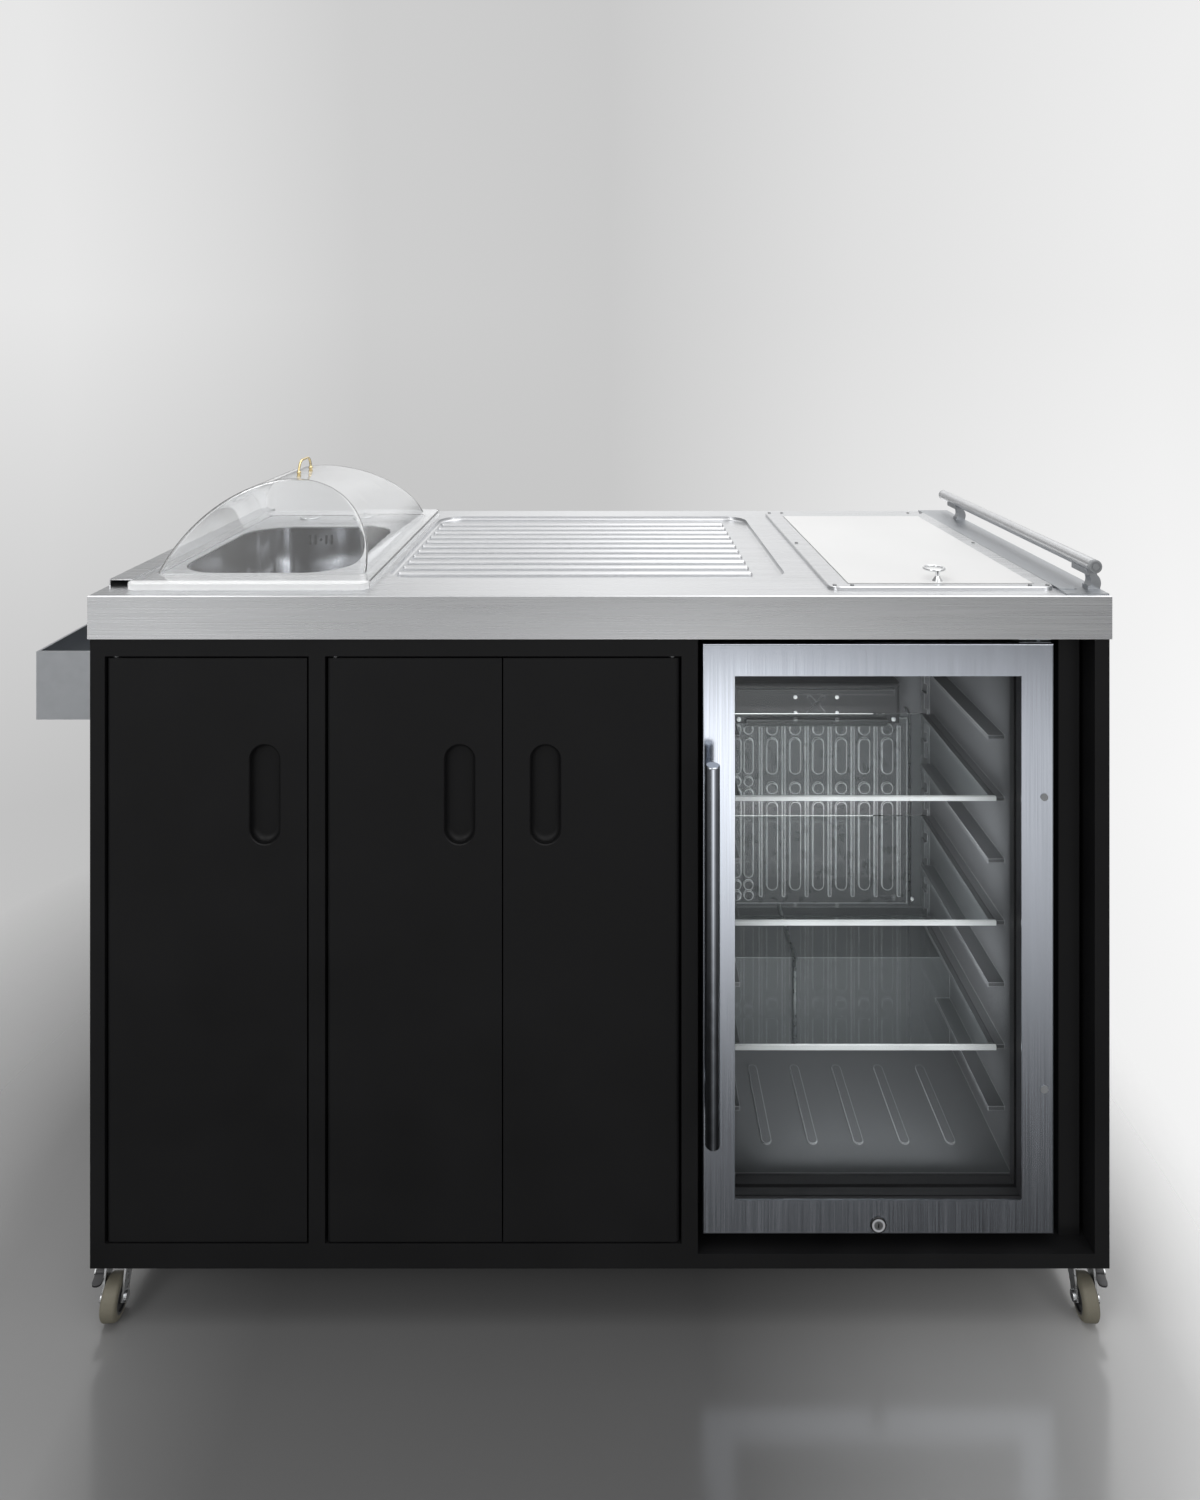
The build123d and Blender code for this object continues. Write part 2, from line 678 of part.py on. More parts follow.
def tub(x, y, width, length, under, corner, floor_radius, flange):
    """A drawn sheet tub hung by its flange under the worktop."""
    body = slab(x, y, width + 2 * flange, length + 2 * flange, (sheet_under - SHEET, sheet_under),
                corner + flange)
    body += basin(x, y, width + 2 * SHEET, length + 2 * SHEET, (under, sheet_under), corner + SHEET,
                  floor_radius + SHEET)
    return body - basin(x, y, width, length, (under + SHEET, sheet_under), corner, floor_radius)


def sink_bowl():
    bowl = tub(bowl_x, bowl_y, BOWL_WIDTH, BOWL_LENGTH, bowl_under, BOWL_CORNER, BOWL_FLOOR_RADIUS,
               BOWL_FLANGE)
    bowl -= rod_z(bowl_x, bowl_y, (bowl_under, bowl_under + SHEET), WASTE_BODY + 2 * WASTE_FIT)
    back = bowl_y + BOWL_LENGTH / 2
    x = bowl_x - OVERFLOW_SIDE
    z = WORKTOP_HEIGHT - OVERFLOW_DROP - OVERFLOW_HEIGHT / 2
    for place in OVERFLOW_PLACES:
        slot = Plane.XZ * Pos(x + place, z) * SlotOverall(OVERFLOW_HEIGHT, OVERFLOW_WIDTH, rotation=90)
        bowl -= Pos(0, back, 0) * extrude(slot, SHEET, both=True)
    return bowl - rod_y(x, (back - SHEET, back + SHEET), z, OVERFLOW_SPOT)


def sink_waste():
    """The waste: flange on the bowl's floor, grid, body under it and tailpiece."""
    floor = bowl_under + SHEET
    body_low = bowl_under - WASTE_BODY_HEIGHT
    waste = rod_z(bowl_x, bowl_y, (floor, floor + WASTE_FLANGE_HEIGHT), WASTE_FLANGE)
    waste += rod_z(bowl_x, bowl_y, (body_low, floor), WASTE_BODY)
    waste += rod_z(bowl_x, bowl_y, (body_low - TAILPIECE_HEIGHT, body_low), TAILPIECE)
    waste -= rod_z(bowl_x, bowl_y, (body_low + TAILPIECE_WALL, floor), WASTE_BODY - 2 * TAILPIECE_WALL)
    waste -= rod_z(bowl_x, bowl_y, (body_low - TAILPIECE_HEIGHT, floor), TAILPIECE - 2 * TAILPIECE_WALL)
    for place in PolarLocations(GRID_CIRCLE, GRID_HOLES):
        hole = Cylinder(GRID_HOLE / 2, 2 * WASTE_FLANGE_HEIGHT)
        waste -= Pos(bowl_x, bowl_y, floor + WASTE_FLANGE_HEIGHT / 2) * place * hole
    return waste


def tap_hole_plugs():
    plugs = []
    top = WORKTOP_HEIGHT + TAP_PLUG_HEIGHT
    stem_low = WORKTOP_HEIGHT - TAP_PLUG_STEM_HEIGHT
    for x in tap_places():
        head = rod_z(x, tap_y, (WORKTOP_HEIGHT, top), TAP_PLUG)
        head = fillet(edges_at(head, Axis.Z, top), TAP_PLUG_HEIGHT / 2)
        plugs.append(head + rod_z(x, tap_y, (stem_low, WORKTOP_HEIGHT), TAP_PLUG_STEM))
    return plugs


def edge_channel():
    """An upturned channel along the left edge, open at its front end."""
    x = (worktop_left + EDGE_RADIUS, worktop_left + EDGE_RADIUS + CHANNEL_WIDTH)
    y = (worktop_front + CHANNEL_FRONT, worktop_back - EDGE_RADIUS)
    top = WORKTOP_HEIGHT + CHANNEL_HEIGHT
    hollow = block((x[0] + CHANNEL_WALL, x[1] - CHANNEL_WALL), y, (WORKTOP_HEIGHT, top - CHANNEL_WALL))
    return block(x, y, (WORKTOP_HEIGHT, top)) - hollow


# Clear cover of the sink

def dome_form(inset, height):
    """An arched vault with sloping ends and rounded edges, standing on the cover's base plane."""
    half_width = COVER_WIDTH / 2 - DOME_SIDE_INSET - inset
    half_length = COVER_LENGTH / 2 - DOME_END_INSET - inset
    arch = EllipticalCenterArc((0, 0), half_width, height, arc_size=180)
    arch += Line((-half_width, 0), (half_width, 0))
    vault = extrude(Plane.XZ * make_face(arch), half_length, both=True)
    top_half = half_length - DOME_END_SLOPE
    side = Polyline((-half_length, 0), (half_length, 0), (top_half, height), (-top_half, height), close=True)
    form = vault & extrude(Plane.YZ * make_face(side), half_width, both=True)
    bends = [edge for edge in form.edges() if edge.center().Z > TOUCH]
    return Pos(cover_x, cover_y, cover_bottom) * fillet(bends, DOME_EDGE_RADIUS - inset)


def sink_cover():
    """The clear vault on a flange, whose edge is turned down all round."""
    rim_top = cover_bottom + COVER_RIM_HEIGHT
    rim = slab(cover_x, cover_y, COVER_WIDTH, COVER_LENGTH, (cover_bottom, rim_top), COVER_RIM_CORNER)
    rim = fillet(edges_at(rim, Axis.Z, rim_top), COVER_RIM_ROUND)
    hollow = slab(cover_x, cover_y, COVER_WIDTH - 2 * COVER_WALL, COVER_LENGTH - 2 * COVER_WALL,
                  (cover_bottom, rim_top - COVER_WALL), COVER_RIM_CORNER - COVER_WALL)
    return rim + dome_form(0, DOME_HEIGHT) - dome_form(COVER_WALL, DOME_HEIGHT - COVER_WALL) - hollow


def cover_handle():
    """The brass bail: a bent rod on two feet, along the crown of the cover."""
    crown = cover_bottom + DOME_HEIGHT
    middle = cover_y - BAIL_FORWARD
    top = crown + BAIL_POST_HEIGHT + BAIL_RISE
    half = BAIL_SPAN / 2
    path = FilletPolyline((-half, crown + BAIL_POST_HEIGHT), (-half, top), (half, top),
                          (half, crown + BAIL_POST_HEIGHT), radius=BAIL_CORNER)
    path = Pos(cover_x, middle, 0) * (Plane.YZ * path)
    start = Plane(origin=path @ 0, z_dir=path % 0)
    bail = sweep(start * Circle(BAIL_ROD / 2), path)
    for side in (-half, half):
        y = middle + side
        bail += rod_z(cover_x, y, (crown, crown + BAIL_POST_HEIGHT), BAIL_POST - BAIL_FOOT)
        bail += rod_z(cover_x, y, (crown, crown + BAIL_FOOT), BAIL_POST)
        bail += Pos(cover_x, y, crown + BAIL_POST_HEIGHT) * Sphere(BAIL_POST / 2)
    return bail


# Cold pan, its bezel and its lid

def cold_pan():
    under = WORKTOP_HEIGHT - PAN_DEPTH - SHEET
    return tub(lid_x, lid_y, *pan_opening(), under, PAN_CORNER, PAN_FLOOR_RADIUS, PAN_FLANGE)


def lid_pin_span(side):
    """The x reach of one lid hinge pin, from inside the lid into the bezel."""
    edge = lid_x + side * lid_width / 2
    ends = (edge - side * LID_PIN_DEPTH, edge + side * (LID_GAP + LID_PIN_DEPTH))
    return (min(ends), max(ends))


def lid_bores():
    bore = LID_PIN + 2 * RUNNING_FIT
    return [rod_x(lid_pin_span(side), lid_pivot_y, lid_pivot_z, bore) for side in (-1, 1)]


def pan_bezel():
    top = WORKTOP_HEIGHT + BEZEL_HEIGHT
    ring = slab(bezel_x, bezel_y, BEZEL_WIDTH, BEZEL_LENGTH, (WORKTOP_HEIGHT, top), BEZEL_CORNER)
    ring = chamfer(edges_at(ring, Axis.Z, top), BEZEL_CHAMFER)
    ring -= block((lid_x - lid_width / 2 - LID_GAP, lid_x + lid_width / 2 + LID_GAP),
                  (lid_y - lid_length / 2 - LID_GAP, lid_y + lid_length / 2 + LID_GAP), (WORKTOP_HEIGHT, top))
    for bore in lid_bores():
        ring -= bore
    return ring


def bezel_screws():
    """Low round screw heads along the four sides of the bezel."""
    top = WORKTOP_HEIGHT + BEZEL_HEIGHT
    half_x = BEZEL_WIDTH / 2 - BEZEL_SCREW_INSET
    half_y = BEZEL_LENGTH / 2 - BEZEL_SCREW_INSET
    places = [(side * half_x, half_y * (2 * n / (BEZEL_SCREWS_SIDE - 1) - 1))
              for side in (-1, 1) for n in range(BEZEL_SCREWS_SIDE)]
    end_x = BEZEL_WIDTH / 2 - BEZEL_SCREW_CORNER
    places += [(side * end_x, end * half_y) for side in (-1, 1) for end in (-1, 1)]
    heads = []
    for x, y in places:
        head = rod_z(bezel_x + x, bezel_y + y, (top, top + BEZEL_SCREW_HEIGHT), BEZEL_SCREW)
        heads.append(fillet(edges_at(head, Axis.Z, top + BEZEL_SCREW_HEIGHT), BEZEL_SCREW_HEIGHT / 2))
    return heads


def pan_lid():
    """The white lid, its rear edge round so that it turns up in place."""
    lid = block((lid_x - lid_width / 2, lid_x + lid_width / 2),
                (lid_y - lid_length / 2, lid_y + lid_length / 2), (lid_bottom, lid_top))
    rear = edges_at(lid, Axis.Y, lid_y + lid_length / 2).filter_by(Axis.X)
    lid = fillet(rear, LID_THICKNESS / 2 - TOUCH)
    for bore in lid_bores():
        lid -= bore
    return lid


def lid_hinge_pins():
    return [rod_x(lid_pin_span(side), lid_pivot_y, lid_pivot_z, LID_PIN) for side in (-1, 1)]


def lid_knob():
    """A ring pull: flared foot, neck and a flat ring that reaches back from it."""
    y = lid_y - lid_length / 2 + KNOB_BACK
    foot = Pos(lid_x, y, lid_top + KNOB_HEIGHT / 4) * Cone(KNOB_BASE / 2, KNOB_NECK / 2, KNOB_HEIGHT / 2)
    neck = rod_z(lid_x, y, (lid_top, lid_top + KNOB_HEIGHT), KNOB_NECK)
    ring = Pos(lid_x, y + RING_RADIUS, lid_top + KNOB_HEIGHT) * Torus(RING_RADIUS, RING_ROD / 2)
    return foot + neck + ring


# Push handle

def push_handle_plate():
    """The sheet under the handle, with a low raised field along its inner side."""
    left = worktop_left + PLATE_LEFT
    front = worktop_front + PLATE_FRONT
    top = WORKTOP_HEIGHT + PLATE_HEIGHT
    plate = block((left, worktop_right - PLATE_RIGHT), (front, worktop_back - PLATE_FRONT),
                  (WORKTOP_HEIGHT, top))
    field_y = (front + PAD_FRONT, front + PAD_FRONT + PAD_LENGTH)
    field = block((left, left + PAD_WIDTH), field_y, (top, top + PAD_RISE))
    return plate + fillet(edges_at(field, Axis.X, left + PAD_WIDTH).filter_by(Axis.Z), PAD_CORNER)


def push_handle_tube():
    tube = rod_y(tube_x, tube_span, tube_z, TUBE_DIAMETER)
    return tube - rod_y(tube_x, tube_span, tube_z, TUBE_DIAMETER - 2 * TUBE_WALL)


def push_handle_caps():
    """A round cap on each end of the tube, with a plug inside it."""
    caps = []
    for end, outward in ((tube_span[0], -1), (tube_span[1], 1)):
        outer = end + outward * CAP_LENGTH
        inner = end - outward * CAP_PLUG
        cap = rod_y(tube_x, (min(end, outer), max(end, outer)), tube_z, TUBE_DIAMETER)
        cap = fillet(edges_at(cap, Axis.Y, outer), CAP_ROUND)
        groove_y = sorted((outer, outer - outward * CAP_GROOVE_DEPTH))
        groove = rod_y(tube_x, groove_y, tube_z, CAP_GROOVE)
        cap -= groove - rod_y(tube_x, groove_y, tube_z, CAP_GROOVE - 2 * CAP_GROOVE_WIDTH)
        plug = TUBE_DIAMETER - 2 * TUBE_WALL - 2 * RUNNING_FIT
        caps.append(cap + rod_y(tube_x, (min(end, inner), max(end, inner)), tube_z, plug))
    return caps


def push_handle_bracket(y):
    """One bracket: foot on the plate, bowed leg and a saddle under the tube."""
    low = WORKTOP_HEIGHT + PLATE_HEIGHT
    saddle_low = tube_z - TUBE_DIAMETER / 2 - SADDLE_DROP
    foot_x = (worktop_right - PLATE_RIGHT - BRACKET_FOOT, worktop_right - PLATE_RIGHT)
    span = (y - BRACKET_WIDTH / 2, y + BRACKET_WIDTH / 2)
    bracket = block(foot_x, span, (low, low + BRACKET_FOOT_HEIGHT))
    outer = Vector(foot_x[1], low + BRACKET_FOOT_HEIGHT / 2)
    upper = Vector(tube_x, saddle_low + SADDLE_DROP)
    bow = (outer + upper) / 2 + Vector(BRACKET_BOW, 0)
    inner_upper = upper - Vector(BRACKET_TOP, 0)
    inner_outer = outer - Vector(BRACKET_FOOT, 0)
    inner_bow = (inner_outer + inner_upper) / 2 + Vector(BRACKET_BOW, 0)
    leg = ThreePointArc(outer, bow, upper) + Polyline(upper, inner_upper) + ThreePointArc(
        inner_upper, inner_bow, inner_outer) + Polyline(inner_outer, outer)
    bracket += Pos(0, y, 0) * extrude(Plane.XZ * make_face(leg), BRACKET_WIDTH / 2, both=True)
    bracket += block((tube_x - TUBE_DIAMETER / 2, tube_x + TUBE_DIAMETER / 4),
                     (span[0], span[0] + SADDLE_LENGTH), (saddle_low, tube_z - TUBE_DIAMETER / 4))
    return bracket - rod_y(tube_x, tube_span, tube_z, TUBE_DIAMETER + 2 * RUNNING_FIT)


def push_handle_brackets():
    places = (tube_span[0] + BRACKET_FRONT, tube_span[1] - BRACKET_BACK)
    return [push_handle_bracket(y) for y in places]


# Side rack

def side_rack():
    """An open trough of sheet with a folded hem, against the left side panel."""
    x = (worktop_left - RACK_REACH, cabinet_left)
    y = (rack_front, rack_front + RACK_LENGTH)
    top = RACK_BOTTOM + RACK_HEIGHT
    inner_x = (x[0] + RACK_SHEET, x[1] - RACK_SHEET)
    inner_y = (y[0] + RACK_SHEET, y[1] - RACK_SHEET)
    rack = block(x, y, (RACK_BOTTOM, top)) - block(inner_x, inner_y, (RACK_BOTTOM + RACK_SHEET, top))
    hem = block(inner_x, inner_y, (top - RACK_HEM, top))
    hem -= block((inner_x[0] + RACK_SHEET, inner_x[1]), (inner_y[0] + RACK_SHEET, inner_y[1] - RACK_SHEET),
                 (top - RACK_HEM, top))
    return rack + hem


def rack_screws():
    """Screw heads inside the rack, holding it to the side panel."""
    face = cabinet_left - RACK_SHEET
    z = RACK_BOTTOM + RACK_HEIGHT - RACK_SCREW_DROP
    pitch = RACK_LENGTH / RACK_SCREWS
    return [rod_x((face - RACK_SCREW_HEIGHT, face), rack_front + pitch * (n + 1 / 2), z, RACK_SCREW)
            for n in range(RACK_SCREWS)]


# Refrigerator

def inside_form(offset):
    """The space inside the refrigerator, drawn in by an offset, above the step over the compressor."""
    form = block((inside_left + offset, inside_right - offset), (fridge_front, inside_back - offset),
                 (inside_bottom + offset, inside_top - offset))
    return form - block((inside_left, inside_right), (step_front - offset, inside_back),
                        (inside_bottom, step_top + offset))


def fridge_cabinet():
    """The insulated case, open in front, with the compressor's bay at its lower back."""
    case = block((fridge_left, fridge_right), (fridge_front, fridge_back), (fridge_bottom, fridge_top))
    case -= inside_form(0)
    return case - block((fridge_left + MACHINE_PLATE, fridge_right - MACHINE_PLATE),
                        (fridge_back - MACHINE_DEPTH, fridge_back),
                        (fridge_bottom + MACHINE_PLATE, fridge_bottom + MACHINE_HEIGHT))


def runner_top(index):
    return inside_bottom + RUNNER_FIRST + index * RUNNER_PITCH + RUNNER_HEIGHT


def wall_posts():
    """Upright posts in the rear corners of the lining, toothed like a ladder."""
    middle = inside_back - LINER - POST_BACK
    y = (middle - POST_DEPTH / 2, middle + POST_DEPTH / 2)
    spans = [(step_top, inside_top, POST_RISE)]
    for index in range(RUNNER_COUNT):
        for low in (runner_top(index), runner_top(index) + RUNNER_PITCH / 2):
            if low > step_top and low + POST_TOOTH_HEIGHT < inside_top:
                spans.append((low, low + POST_TOOTH_HEIGHT, POST_TOOTH_RISE))
    posts = []
    for low, top, rise in spans:
        posts.append(block((inside_left, inside_left + LINER + rise), y, (low, top)))
        posts.append(block((inside_right - LINER - rise, inside_right), y, (low, top)))
    return posts


def fridge_liner():
    """The moulded lining with its shelf runners, its corner posts and the ribs of its floor."""
    liner = inside_form(0) - inside_form(LINER)
    y = (fridge_front + RUNNER_FRONT, fridge_front + RUNNER_FRONT + RUNNER_LENGTH)
    for index in range(RUNNER_COUNT):
        z = (runner_top(index) - RUNNER_HEIGHT, runner_top(index))
        for x in ((inside_left, inside_left + LINER + RUNNER_WIDTH),
                  (inside_right - LINER - RUNNER_WIDTH, inside_right)):
            liner += block(x, y, z) & inside_form(0)
    liner += wall_posts()
    middle = (inside_left + inside_right) / 2
    floor = inside_bottom + LINER
    for index in range(FLOOR_RIBS):
        x = middle + (index - (FLOOR_RIBS - 1) / 2) * FLOOR_RIB_PITCH
        outline = SlotOverall(FLOOR_RIB_LENGTH, FLOOR_RIB_WIDTH, rotation=90)
        rib = Pos(x, (fridge_front + step_front) / 2, floor) * outline
        liner += extrude(rib, FLOOR_RIB_HEIGHT)
    return liner


def shelf_span():
    side = LINER + SHELF_SIDE_GAP
    return (inside_left + side, inside_right - side)


def shelf_glasses():
    y = (fridge_front + SHELF_FRONT, fridge_front + SHELF_FRONT + SHELF_DEPTH)
    lows = [runner_top(index) for index in SHELF_RUNNERS]
    return [block(shelf_span(), y, (low, low + SHELF_GLASS)) for low in lows]


def shelf_trims():
    """The edge strip on the front of each glass shelf."""
    y = (fridge_front + SHELF_FRONT - TRIM_DEPTH, fridge_front + SHELF_FRONT)
    trims = []
    for index in SHELF_RUNNERS:
        middle = runner_top(index) + SHELF_GLASS / 2
        trims.append(block(shelf_span(), y, (middle - TRIM_HEIGHT / 2, middle + TRIM_HEIGHT / 2)))
    return trims


def pressed_column(x, face, low, width, channels, dots):
    """One column of a cold plate: raised channels with round spots above and below them."""
    column = []
    for bottom, top in channels:
        outline = SlotOverall(top - bottom, width, rotation=90)
        channel = Plane.XZ * Pos(x, low + (bottom + top) / 2) * outline
        column.append(Pos(0, face, 0) * extrude(channel, EMBOSS_RISE))
    for height in dots:
        column.append(rod_y(x, (face - EMBOSS_RISE, face), low + height, width))
    return column


def evaporator_panel():
    """The cold plate on the rear wall, with its pressed channels, round spots and ridges."""
    middle = (inside_left + inside_right) / 2
    left = middle - EVAPORATOR_WIDTH / 2
    back = inside_back - LINER
    face = back - EVAPORATOR_SHEET
    low = inside_bottom + EVAPORATOR_BOTTOM
    panel = block((left, left + EVAPORATOR_WIDTH), (face, back), (low, low + EVAPORATOR_HEIGHT))
    for index in range(NARROW_COLUMNS):
        x = left + NARROW_FIRST + index * NARROW_PITCH
        panel += pressed_column(x, face, low, NARROW_WIDTH, (UPPER_CHANNELS, NARROW_CHANNELS),
                                (UPPER_DOTS, *NARROW_DOTS))
    for index in range(WIDE_COLUMNS):
        x = left + WIDE_FIRST + index * WIDE_PITCH
        panel += pressed_column(x, face, low, WIDE_WIDTH, (UPPER_CHANNELS, WIDE_CHANNELS),
                                (UPPER_DOTS, *WIDE_DOTS))
    for index in range(WIDE_COLUMNS + 1):
        x = left + WIDE_FIRST + (index - 1 / 2) * WIDE_PITCH
        panel += block((x - RIDGE_WIDTH / 2, x + RIDGE_WIDTH / 2), (face - EMBOSS_RISE, face),
                       (low + RIDGE_SPAN[0], low + RIDGE_SPAN[1]))
    return panel


def fan_housing():
    """The housing of the fan over the cold plate, with a bar, a lip and a cross on its face."""
    x = (inside_left + inside_right) / 2
    back = inside_back - LINER
    face = back - FAN_DEPTH
    top = inside_top - LINER - FAN_DROP
    low = top - FAN_HEIGHT
    housing = block((x - FAN_WIDTH / 2, x + FAN_WIDTH / 2), (face, back), (low, top))
    housing = fillet(edges_at(housing, Axis.Y, face), FAN_RADIUS)
    bar_low = top - FAN_BAR_DROP - FAN_BAR_HEIGHT
    housing += block((x - FAN_BAR_WIDTH / 2, x + FAN_BAR_WIDTH / 2), (face - FAN_BAR_RISE, face),
                     (bar_low, bar_low + FAN_BAR_HEIGHT))
    housing += block((x - FAN_LIP_WIDTH / 2, x + FAN_LIP_WIDTH / 2), (face - FAN_LIP_RISE, face + FAN_RADIUS),
                     (low, low + FAN_LIP_HEIGHT))
    for turn in (FAN_CROSS_TURN, -FAN_CROSS_TURN):
        outline = SlotOverall(FAN_CROSS_LENGTH, FAN_CROSS_WIDTH, rotation=turn)
        arm = Plane.XZ * Pos(x, top - FAN_CROSS_DROP) * outline
        housing += Pos(0, face, 0) * extrude(arm, FAN_CROSS_RISE)
    return housing


def compressor():
    """The round steel can of the compressor on its base, in the bay at the back."""
    x = (fridge_left + fridge_right) / 2
    y = fridge_back - COMPRESSOR_BACK
    low = fridge_bottom + MACHINE_PLATE
    can_low = low + COMPRESSOR_FEET
    can = rod_z(x, y, (can_low, can_low + COMPRESSOR_HEIGHT), 2 * COMPRESSOR_RADIUS)
    can = fillet(can.edges().filter_by(GeomType.CIRCLE), COMPRESSOR_ROUND)
    reach = COMPRESSOR_RADIUS
    base = block((x - reach, x + reach), (y - reach, y + reach), (low, low + COMPRESSOR_BASE))
    return can + base + rod_z(x, y, (low, can_low + COMPRESSOR_ROUND), COMPRESSOR_RADIUS)


def fridge_feet():
    feet = []
    for x in (fridge_left + FOOT_INSET, fridge_right - FOOT_INSET):
        for y in (fridge_front + FOOT_INSET, fridge_back - FOOT_INSET):
            feet.append(rod_z(x, y, (floor_top, fridge_bottom), FOOT_DIAMETER))
    return feet


def fridge_hinges():
    """A plate above and below the refrigerator, each with the pin that the door turns on."""
    x = (fridge_right - HINGE_WIDTH, fridge_right)
    y = (fridge_pivot_y - HINGE_FRONT, fridge_front + HINGE_BACK)
    upper_pin = (fridge_door_top - FRIDGE_PIN_DEPTH, fridge_top)
    lower_pin = (fridge_bottom, fridge_door_bottom + FRIDGE_PIN_DEPTH)
    upper = block(x, y, (fridge_top, fridge_top + HINGE_PLATE))
    upper += rod_z(fridge_pivot_x, fridge_pivot_y, upper_pin, FRIDGE_PIN)
    lower = block(x, y, (fridge_bottom - HINGE_PLATE, fridge_bottom))
    lower += rod_z(fridge_pivot_x, fridge_pivot_y, lower_pin, FRIDGE_PIN)
    return [upper, lower]


# Refrigerator door

def ring_form(grow, y, opening):
    """A frame round the glass opening: its outer edge grown by one amount, its hole by another."""
    outer = block((glass_left - grow, glass_right + grow), y, (glass_bottom - grow, glass_top + grow))
    return outer - block((glass_left - opening, glass_right + opening), y,
                         (glass_bottom - opening, glass_top + opening))


def door_core_space(fit):
    """The room inside the door's steel skin, behind its face."""
    side = DOOR_SKIN + fit
    return block((fridge_left + side, fridge_right - side), (fridge_door_front + DOOR_SKIN, fridge_door_back),
                 (fridge_door_bottom + side, fridge_door_top - side))


def door_bores():
    """The bores in the door for its hinge pins, lock and hole plugs."""
    pin = FRIDGE_PIN + 2 * RUNNING_FIT
    depth = FRIDGE_PIN_DEPTH + PIN_END_GAP
    bores = [rod_z(fridge_pivot_x, fridge_pivot_y, (fridge_door_bottom, fridge_door_bottom + depth), pin),
             rod_z(fridge_pivot_x, fridge_pivot_y, (fridge_door_top - depth, fridge_door_top), pin),
             rod_y(lock_x, (fridge_door_front, fridge_door_front + LOCK_DEPTH), lock_z,
                   LOCK_HOUSING + 2 * RUNNING_FIT)]
    plug_y = (fridge_door_front, fridge_door_front + HOLE_PLUG_DEPTH)
    for z in hole_plug_places():
        bores.append(rod_y(fridge_right - HOLE_PLUG_INSET, plug_y, z, HOLE_PLUG + 2 * RUNNING_FIT))
    return bores


def fridge_door_frame():
    """The steel skin of the door: its face round the glass and its outer sides."""
    y = (fridge_door_front, fridge_door_back)
    frame = block((fridge_left, fridge_right), y, (fridge_door_bottom, fridge_door_top))
    frame = fillet(edges_at(frame, Axis.Y, fridge_door_front), FRAME_RADIUS)
    frame -= block((glass_left, glass_right), y, (glass_bottom, glass_top))
    frame -= door_core_space(0)
    for bore in door_bores():
        frame -= bore
    return frame


def hole_plug_places():
    return [fridge_door_bottom + height for height in HOLE_PLUG_HEIGHTS]


def fridge_door_panes():
    grow = GLASS_OVERLAP - GLASS_FIT
    panes = []
    for front in (pane_front, pane_front + PANE + PANE_GAP):
        panes.append(block((glass_left - grow, glass_right + grow), (front, front + PANE),
                           (glass_bottom - grow, glass_top + grow)))
    return panes


def pane_spacer():
    front = pane_front + PANE
    grow = GLASS_OVERLAP - GLASS_FIT
    return ring_form(grow, (front, front + PANE_GAP), grow - SPACER)


def fridge_door_liner():
    """The moulded core that fills the skin, holds the panes in a groove and closes the door's back."""
    core = door_core_space(GLASS_FIT)
    core -= block((glass_left, glass_right), (fridge_door_front, fridge_door_back), (glass_bottom, glass_top))
    core -= block((glass_left - GLASS_OVERLAP, glass_right + GLASS_OVERLAP), (pane_front, pane_back),
                  (glass_bottom - GLASS_OVERLAP, glass_top + GLASS_OVERLAP))
    for bore in door_bores():
        core -= bore
    return core


def fridge_door_gasket():
    y = (fridge_door_back, fridge_front - GASKET_GAP)
    x = (fridge_left + GASKET_INSET, fridge_right - GASKET_INSET)
    z = (fridge_door_bottom + GASKET_INSET, fridge_door_top - GASKET_INSET)
    hole = block((x[0] + GASKET_WIDTH, x[1] - GASKET_WIDTH), y, (z[0] + GASKET_WIDTH, z[1] - GASKET_WIDTH))
    return block(x, y, z) - hole


def fridge_handle():
    """The round bar of the door handle on its two posts."""
    x = fridge_left + HANDLE_LEFT
    y = fridge_door_front - HANDLE_STANDOFF + HANDLE_DIAMETER / 2
    z = (fridge_door_bottom + HANDLE_BOTTOM, fridge_door_bottom + HANDLE_BOTTOM + HANDLE_LENGTH)
    bar = rod_z(x, y, z, HANDLE_DIAMETER)
    bar = fillet(bar.edges().filter_by(GeomType.CIRCLE), HANDLE_ROUND)
    for place in (z[0] + HANDLE_POST_INSET, z[1] - HANDLE_POST_INSET):
        bar += rod_y(x, (y, fridge_door_front), place, HANDLE_POST)
    return bar


def door_hole_plugs():
    y = (fridge_door_front - HOLE_PLUG_PROUD, fridge_door_front + HOLE_PLUG_DEPTH)
    return [rod_y(fridge_right - HOLE_PLUG_INSET, y, z, HOLE_PLUG) for z in hole_plug_places()]


def lock_housing():
    y = (fridge_door_front - LOCK_PROUD, fridge_door_front + LOCK_DEPTH)
    housing = rod_y(lock_x, y, lock_z, LOCK_HOUSING)
    housing = fillet(edges_at(housing, Axis.Y, y[0]), LOCK_PROUD / 2)
    return housing - rod_y(lock_x, y, lock_z, LOCK_BARREL + 2 * RUNNING_FIT)


def lock_barrel():
    y = (fridge_door_front - LOCK_PROUD, fridge_door_front + LOCK_DEPTH)
    barrel = rod_y(lock_x, y, lock_z, LOCK_BARREL)
    return barrel - block((lock_x - KEYWAY_WIDTH / 2, lock_x + KEYWAY_WIDTH / 2), (y[0], y[0] + KEYWAY_DEPTH),
                          (lock_z - KEYWAY_HEIGHT / 2, lock_z + KEYWAY_HEIGHT / 2))


# Casters, each drawn with its wheel trailing to the front and then turned to its heading

